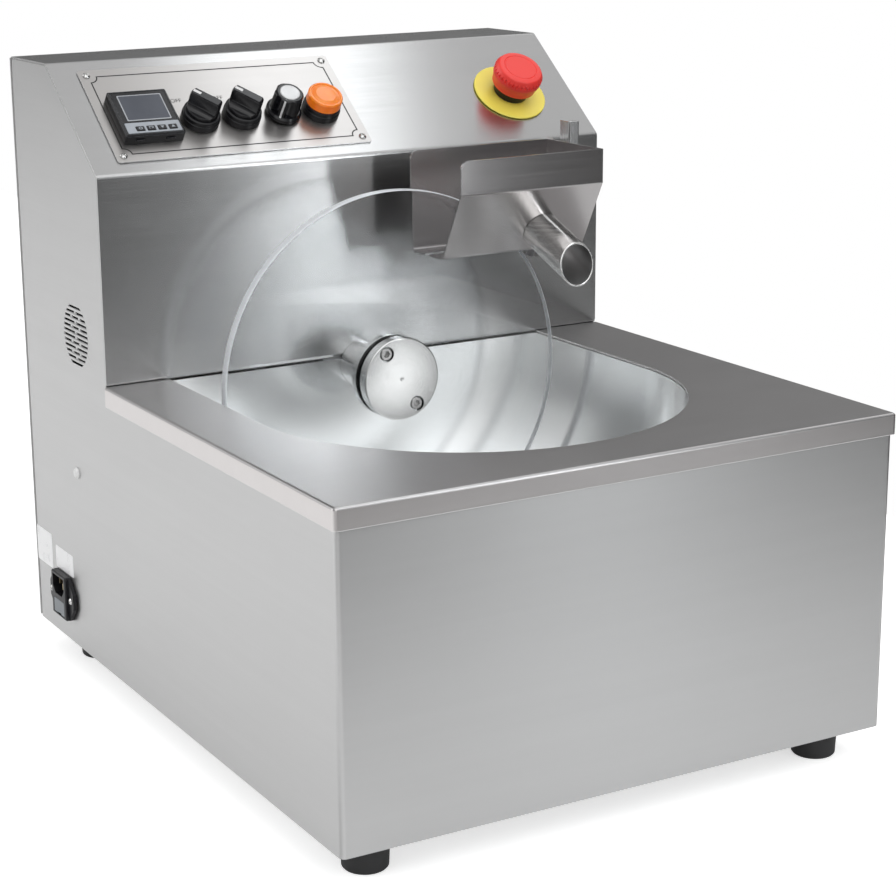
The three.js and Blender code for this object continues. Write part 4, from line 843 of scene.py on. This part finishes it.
def key_icon(i):
    """A plain mark on each key: a ring, a bar with a hook, down and up arrows."""
    z0, z1 = BEZEL_TOP + 0.68, BEZEL_TOP + 0.78
    if i == 0:
        ring = [(1.3 * x, y) for x, y in arc(1.0, 0, math.pi * 1.9, 19)]
        return ribbon(ring, 0.5, z0, z1)
    if i == 1:
        hook = [(-1.5, -1.0), (-1.5, 1.0), (1.4, 1.0), (1.4, -0.4), (0.0, -0.4)]
        return ribbon(hook, 0.5, z0, z1, False)
    return prism([(-1.5, 1.0), (0, -1.4), (1.5, 1.0)] if i == 2 else
                 [(-1.5, -1.0), (1.5, -1.0), (0, 1.4)], z0, z1)


for i, x in enumerate(KEYS_X):
    cap = chamfered_box(6.4, 4.6, 0.7, BEZEL_TOP - 2.2, BEZEL_TOP + 0.7, 0.4)
    piece('key_cap_%d' % (i + 1), joined((cap, 'black'), (key_icon(i), 'strip')), None,
          'key_%d' % (i + 1), ['controller_key_%d' % (i + 1)], CONTROLLER @ at(x, KEY_Y), bevel=0)


def fitting(bore, depth):
    """A panel fitting: a stepped round collar, its barrel and the contact block behind."""
    top, collar_radius, neck_radius = SEAT + 8.5, 14.8, 14.2
    collar = turned([(0, -14), (11, -14), (11, SEAT), (collar_radius, SEAT, 0.3),
                     (collar_radius, SEAT + 4.6, 0.5), (neck_radius, SEAT + 5.1, 0.3),
                     (neck_radius, SEAT + 8.0, 0.8), (12.9, top, 0.3), (0, top)])
    collar = combined(collar, rod(bore, top - depth, 30, 48))
    return joined((collar, 'black'), (prism(rectangle(28, 30, 1.0), -40, -13.9), 'black'))


def selector_handle():
    """A turn handle: a round base that rises in hollow flanks to a straight ridge."""
    z0 = SEAT + 8.8
    radius, ridge, low, high = 12.3, 3.9, z0 + 2.6, z0 + 14.6
    base = turned([(0, z0), (radius, z0, 0.2), (radius, low, 0.7), (0, low)])
    right = [(ridge - 0.7, high), (ridge, high - 0.9), (5.0, low + 3.4), (6.6, low + 1.0),
             (9.0, low), (9.0, z0 + 1.0)]
    wing = moved(prism([(-x, z) for x, z in right[::-1]] + right, -13, 13), turn(90, 'X'))
    crown = turned([(0, z0 - 1), (radius, z0 - 1), (radius, high - 2.2),
                    (radius - 1.5, high + 0.2, 1.5), (0, high + 0.2)])
    wing = combined(wing, crown, how='INTERSECT')
    stem = rod(4, z0 - 6, z0 + 1, 32)
    mark = combined(prism(rectangle(2.6, 6.4, 0.3, 0, 8.0), high - 0.25, high + 0.06),
                    rod(11.0, 0, 60, 64), how='INTERSECT')
    return joined((base, 'black'), (wing, 'gloss'), (stem, 'black'), (mark, 'white'))


for name, x in SWITCHES:
    spot = PANEL @ at(x, ROW_Y)
    piece(name + '_switch_collar', fitting(4.1, 6.3), replaced=[name + '_switch_body'],
          matrix=spot, bevel=0.1)
    piece(name + '_switch_handle', selector_handle(), None, name + '_switch',
          [name + '_switch_knob'], spot @ turn(45), bevel=0.3, segments=3)


def speed_knob():
    """A fluted control knob with a skirt, a spun metal cap and a white line."""
    z0 = SEAT + 1.2
    body = turned([(0, z0), (13.8, z0, 0.3), (13.8, z0 + 2.6, 0.6), (12.2, z0 + 4.0, 0.6),
                   (11.8, z0 + 4.6, 0.3), (11.2, z0 + 19.0, 0.9), (9.6, z0 + 20.0, 0.5),
                   (0, z0 + 20.0)])
    flutes = [rod(7.5, z0 + 4.4, 40, 40, 17.6 * math.sin(a), 17.6 * math.cos(a))
              for a in (2 * math.pi * (i + 0.5) / 6 for i in range(6))]
    body = combined(body, *flutes, rod(8.3, z0 + 19.3, 40, 64), rod(8.6, 0, z0 + 8.0, 48),
                    rod(3.1, 0, SEAT + 15.3, 32))
    cap = turned([(0, z0 + 19.0), (8.1, z0 + 19.0), (8.1, z0 + 20.2, 0.3),
                  (7.2, z0 + 20.45, 0.2), (0, z0 + 20.45)], 72)
    outside = turned([(9.6, z0 + 20.3), (9.6, z0 + 19.9), (11.35, z0 + 18.9), (11.95, z0 + 4.5),
                      (13.5, z0 + 3.0), (20, z0 + 3.0), (20, z0 + 20.3)])
    line = combined(prism(rectangle(1.5, 8.0, 0.1, 0, 12.0), z0 + 3.9, z0 + 20.08), outside)
    line = combined(line, rod(9.4, 0, 60, 64))
    return joined((body, 'gloss'), (cap, 'cap'), (line, 'white'))


KNOB = PANEL @ at(-47.5, ROW_Y)
M['cap'] = spun('cap_metal', 3 * [0.52], 0.3, tuple(MM * (KNOB @ Vector((0, 0, 20)))), 'none',
                3000.0)
piece('speed_knob_body', speed_knob(), None, 'speed_dial', ['speed_knob'], KNOB @ turn(141),
      bevel=0.15)
dress('shaft', 'speed_potentiometer')


def lamp_lens():
    """A lamp lens: a flat dome inside a raised rim."""
    z0 = SEAT + 8.8
    return turned([(0, z0 - 4), (9, z0 - 4), (9, z0), (13.7, z0, 0.3), (13.7, z0 + 6.8, 0.9),
                   (12.9, z0 + 7.9, 0.7), (11.7, z0 + 7.9, 0.4), (11.3, z0 + 7.2, 0.3),
                   (8.0, z0 + 8.1, 4.0), (0, z0 + 8.5)])


LAMP = PANEL @ at(-15.5, ROW_Y)
piece('lamp_collar', fitting(9.3, 4.3), replaced=['pilot_lamp_body'], matrix=LAMP, bevel=0.1)
piece('lamp_lens_cap', lamp_lens(), 'lens', replaced=['pilot_lamp_lens'], matrix=LAMP, bevel=0)

STEM_WAY = 6.1  # the bore that the stop button's stem moves in


def stop_head():
    """A mushroom head: a drawn-in skirt, grip notches, a rounded crown and a sunk ring on top."""
    bottom, top, radius, notches = 10.5, 28.0, 20.0, 36
    body = turned([(0, 18.0), (15.4, 18.0), (15.4, bottom), (17.9, bottom, 0.5), (18.7, 15.0, 2.0),
                   (radius, 19.5, 3.0), (radius, 23.7, 2.5), (17.6, 27.7, 2.2), (13.9, top, 0.6),
                   (13.5, 27.6, 0.3), (12.9, 27.6, 0.3), (12.5, top, 0.5), (0, top)], 120)
    cuts = [rod(0.75, 22.1, 25.9, 10, x, y)
            for x, y in arc(radius - 0.1, 0, 2 * math.pi * (notches - 1) / notches, notches - 1)]
    cuts.append(rod(STEM_WAY, bottom - 1, 25.3, 32))
    return combined(body, joined(*((cut, 'red') for cut in cuts))[0])


def stop_collar():
    """The collar on the plate and the contact block behind the panel."""
    base = 2.2
    collar = turned([(STEM_WAY, -12), (11, -12), (11, base), (14, base, 0.3),
                     (14, base + 9.5, 0.6), (STEM_WAY, base + 9.5)])
    block = combined(prism(rectangle(28, 30, 1.0), -38, -11.9), rod(STEM_WAY, -30, 0, 32))
    return joined((collar, 'black'), (block, 'black'))


STOP = PANEL @ at(157.5, 52)
piece('stop_head', stop_head(), 'red', 'stop_head', ['stop_button'], STOP, bevel=0.1)
piece('stop_plate', turned([(11.3, 0.3), (29.2, 0.3), (30, 0.7, 0.2), (30, 1.5, 0.3),
                            (29.4, 1.9, 0.3), (11.3, 1.9)], 128), 'yellow',
      replaced=['stop_ring'], matrix=STOP, bevel=0)
piece('stop_collar', stop_collar(), replaced=['stop_body'], matrix=STOP, bevel=0.1)
dress('grey', 'stop_stem')


# ---------------------------------------------------------------- mains inlet

INLET = SIDE @ at(-204, 60)
INLET_FACE = 6.0
EARS_X = (-20, 20)
DRAWER_Y = -10


def inlet():
    """A flange with pointed ears, a raised block, an eight-sided socket and three pins."""
    ear = [(25, 6, 2), (15, 18, 2), (-15, 18, 2), (-25, 6, 2)]
    flange = prism([(-x, -y, r) for x, y, r in ear] + ear, 0.3, 3.3)
    block = chamfered_box(30, 36, 1.5, 0.3, INLET_FACE, 0.8)
    body = prism(rectangle(27, 32, 0.8), -20, 3)
    shell = combined(block, flange, body, how='UNION')
    w, h, cut, y = 11.75, 7.75, 5.0, 8
    right = [(w - cut, y - h, 0.8), (w, y - h + cut, 0.8), (w, y + h, 0.8)]
    socket = prism([(-x, y, r) for x, y, r in right[::-1]] + right, -9.0, 12)
    pocket = prism(rectangle(22.5, 12.5, 0.5, 0, DRAWER_Y), -13.2, 12)
    shell = combined(shell, socket, pocket, *(rod(1.8, -5, 12, 24, x) for x in EARS_X))
    pins = [prism(rectangle(1.8, 5.0, 0.5, x, y), -9.4, 2.0)
            for x, y in ((-7, 9.75), (0, 6.25), (7, 9.75))]
    return joined((shell, 'black'), *((pin, 'copper') for pin in pins))


piece('inlet_shell', inlet(), replaced=['power_inlet'], matrix=INLET, bevel=0.15)
drawer = combined(chamfered_box(22, 12, 0.6, -13, INLET_FACE, 0.5),
                  prism(rectangle(7.3, 2.4, 0.2, 0, -6), 4.8, 10))
piece('fuse_drawer_front', drawer, 'grey', 'fuse_tray', ['fuse_drawer'], INLET @ at(0, DRAWER_Y),
      bevel=0.1)
for i, x in enumerate(EARS_X):
    screw('inlet_screw_%d' % (i + 1), 2.8, 1.5, INLET @ at(x, 0, 3.3))

dress('black', 'fan_frame', 'fan_impeller', 'terminal_block')
dress('heater', 'bowl_heater')
dress('shaft', 'temperature_probe')
dress('inside', 'electrics_plate')
dress('board', 'speed_board')
dress('grey', 'solid_state_relay')


# ---------------------------------------------------------------- studio, in metres

FLOOR_GLOW = 0.58  # makes the pale floor white to the camera
LAMP_COLOUR = (0.95, 0.98, 1.0)
ROOM_LEVEL = 0.1
# what the metal mirrors: direction, cosines where an area starts and is full, brightness
ROOM_AREAS = (((0.45, 0.12, 0.88), 0.62, 0.96, 0.56), ((-0.85, 0.5, 0.1), 0.3, 0.95, 0.34),
              ((-0.74, 0.52, 0.42), 0.84, 1.0, 1.8), ((-0.34, -0.86, 0.36), 0.76, 0.98, 0.7),
              ((0.72, 0.35, 0.6), 0.93, 1.0, 0.85), ((-0.1, -0.57, 0.82), 0.7, 1.0, 1.3))
PICTURE = (896, 893)
FOCAL, SENSOR = 2191.155, 36.0  # focal length in the picture's pixels, sensor in millimetres
CENTRE = (348.116, 433.529)  # where the camera's axis meets the picture
CAMERA_PLACE = (-0.7846, -1.36896, 0.62459)
PAN, TILT, ROLL = -27.787, -14.755, -1.048
FLOOR_X, FLOOR_Y = (-4, 0.62), (-0.75, 4)


def floor_material():
    """Pale floor, which glows to the camera and, less and fading to the right, to mirrors."""
    n = Surface('studio_floor', {'Roughness': 0.6, 'Specular IOR Level': 0.0})
    tone = n.noise(3.0, 2.0)
    n.look('Base Color', n.mix(n.spread(tone, 0.0, 1.0), 3 * [0.86], 3 * [0.88]))
    path = n.add('LightPath').outputs
    x = n.add('SeparateXYZ', {0: n.coords}).outputs[0]
    mirrored = n.math('MULTIPLY', path['Is Glossy Ray'], n.spread(x, 0.54, 0.26, -0.6, -0.2))
    straight = n.math('MAXIMUM', path['Is Camera Ray'], path['Is Transmission Ray'])
    seen = n.math('MAXIMUM', straight, mirrored)
    glow = n.add('Emission', {'Strength': n.math('MULTIPLY', seen, FLOOR_GLOW)})
    both = n.add('AddShader', {0: n.shader.outputs[0], 1: glow.outputs[0]})
    n.fill(n.output, 0, both.outputs[0])
    return n.material


floor_mesh = bpy.data.meshes.new('floor')
corners = [(FLOOR_X[i], FLOOR_Y[j], 0) for i, j in ((0, 0), (1, 0), (1, 1), (0, 1))]
floor_mesh.from_pydata(corners, [], [(0, 1, 2, 3)])
floor_mesh.materials.append(floor_material())
linked('floor', floor_mesh)


def softbox(name, place, target, width, height, power, roll=0.0):
    data = bpy.data.lights.new(name, 'AREA')
    data.shape, data.size, data.size_y, data.energy = 'RECTANGLE', width, height, power
    data.color = LAMP_COLOUR
    thing = linked(name, data)
    thing.location = place
    facing = (Vector(target) - Vector(place)).to_track_quat('-Z', 'Y').to_matrix().to_4x4()
    thing.rotation_euler = (facing @ turn(roll)).to_euler()


softbox('overhead_softbox', (0.7, 0.3, 1.9), (0.7, 0.3, 0), 0.34, 0.7, 1.6, 8)
softbox('front_softbox', (0.775, -1.46, 0.95), (0, 0, 0.3), 0.11, 1.6, 4.6)


def studio_world():
    """A dim room with brighter areas for the metal to mirror, plain white to the camera."""
    world = bpy.data.worlds.new('studio')
    bpy.context.scene.world = world
    world.cycles.sampling_method = 'NONE'
    n = Tree(world)
    coords = n.add('TexCoord').outputs['Generated']
    level = ROOM_LEVEL
    for direction, start, end, amount in ROOM_AREAS:
        cosine = n.add('VectorMath', {0: coords, 1: Vector(direction).normalized()},
                       operation='DOT_PRODUCT').outputs['Value']
        area = n.spread(cosine, 0.0, amount, start, end, interpolation_type='SMOOTHSTEP')
        level = n.math('ADD', area, level)
    path = n.add('LightPath').outputs
    # white also through clear things, with no mirror on the way
    direct = n.math('LESS_THAN', path['Glossy Depth'], 0.5)
    through = n.math('MULTIPLY', path['Is Transmission Ray'], direct)
    seen = n.math('MAXIMUM', path['Is Camera Ray'], through)
    room = n.add('Background', {'Color': (1, 1, 1), 'Strength': level})
    white = n.add('Background', {'Color': (1, 1, 1)})
    both = n.add('MixShader', {0: seen, 1: room.outputs[0], 2: white.outputs[0]})
    n.add('OutputWorld', {0: both.outputs[0]})


studio_world()

camera_data = bpy.data.cameras.new('camera')
camera_data.sensor_width = SENSOR
camera_data.lens = SENSOR * FOCAL / PICTURE[0]
camera_data.shift_x = (PICTURE[0] / 2 - CENTRE[0]) / PICTURE[0]
camera_data.shift_y = (CENTRE[1] - PICTURE[1] / 2) / PICTURE[0]
camera_data.clip_end = 50
camera = linked('camera', camera_data)
camera.matrix_world = at(*CAMERA_PLACE) @ turn(PAN) @ turn(90 + TILT, 'X') @ turn(ROLL)
bpy.context.scene.camera = camera
bpy.context.scene.view_settings.view_transform = 'Standard'
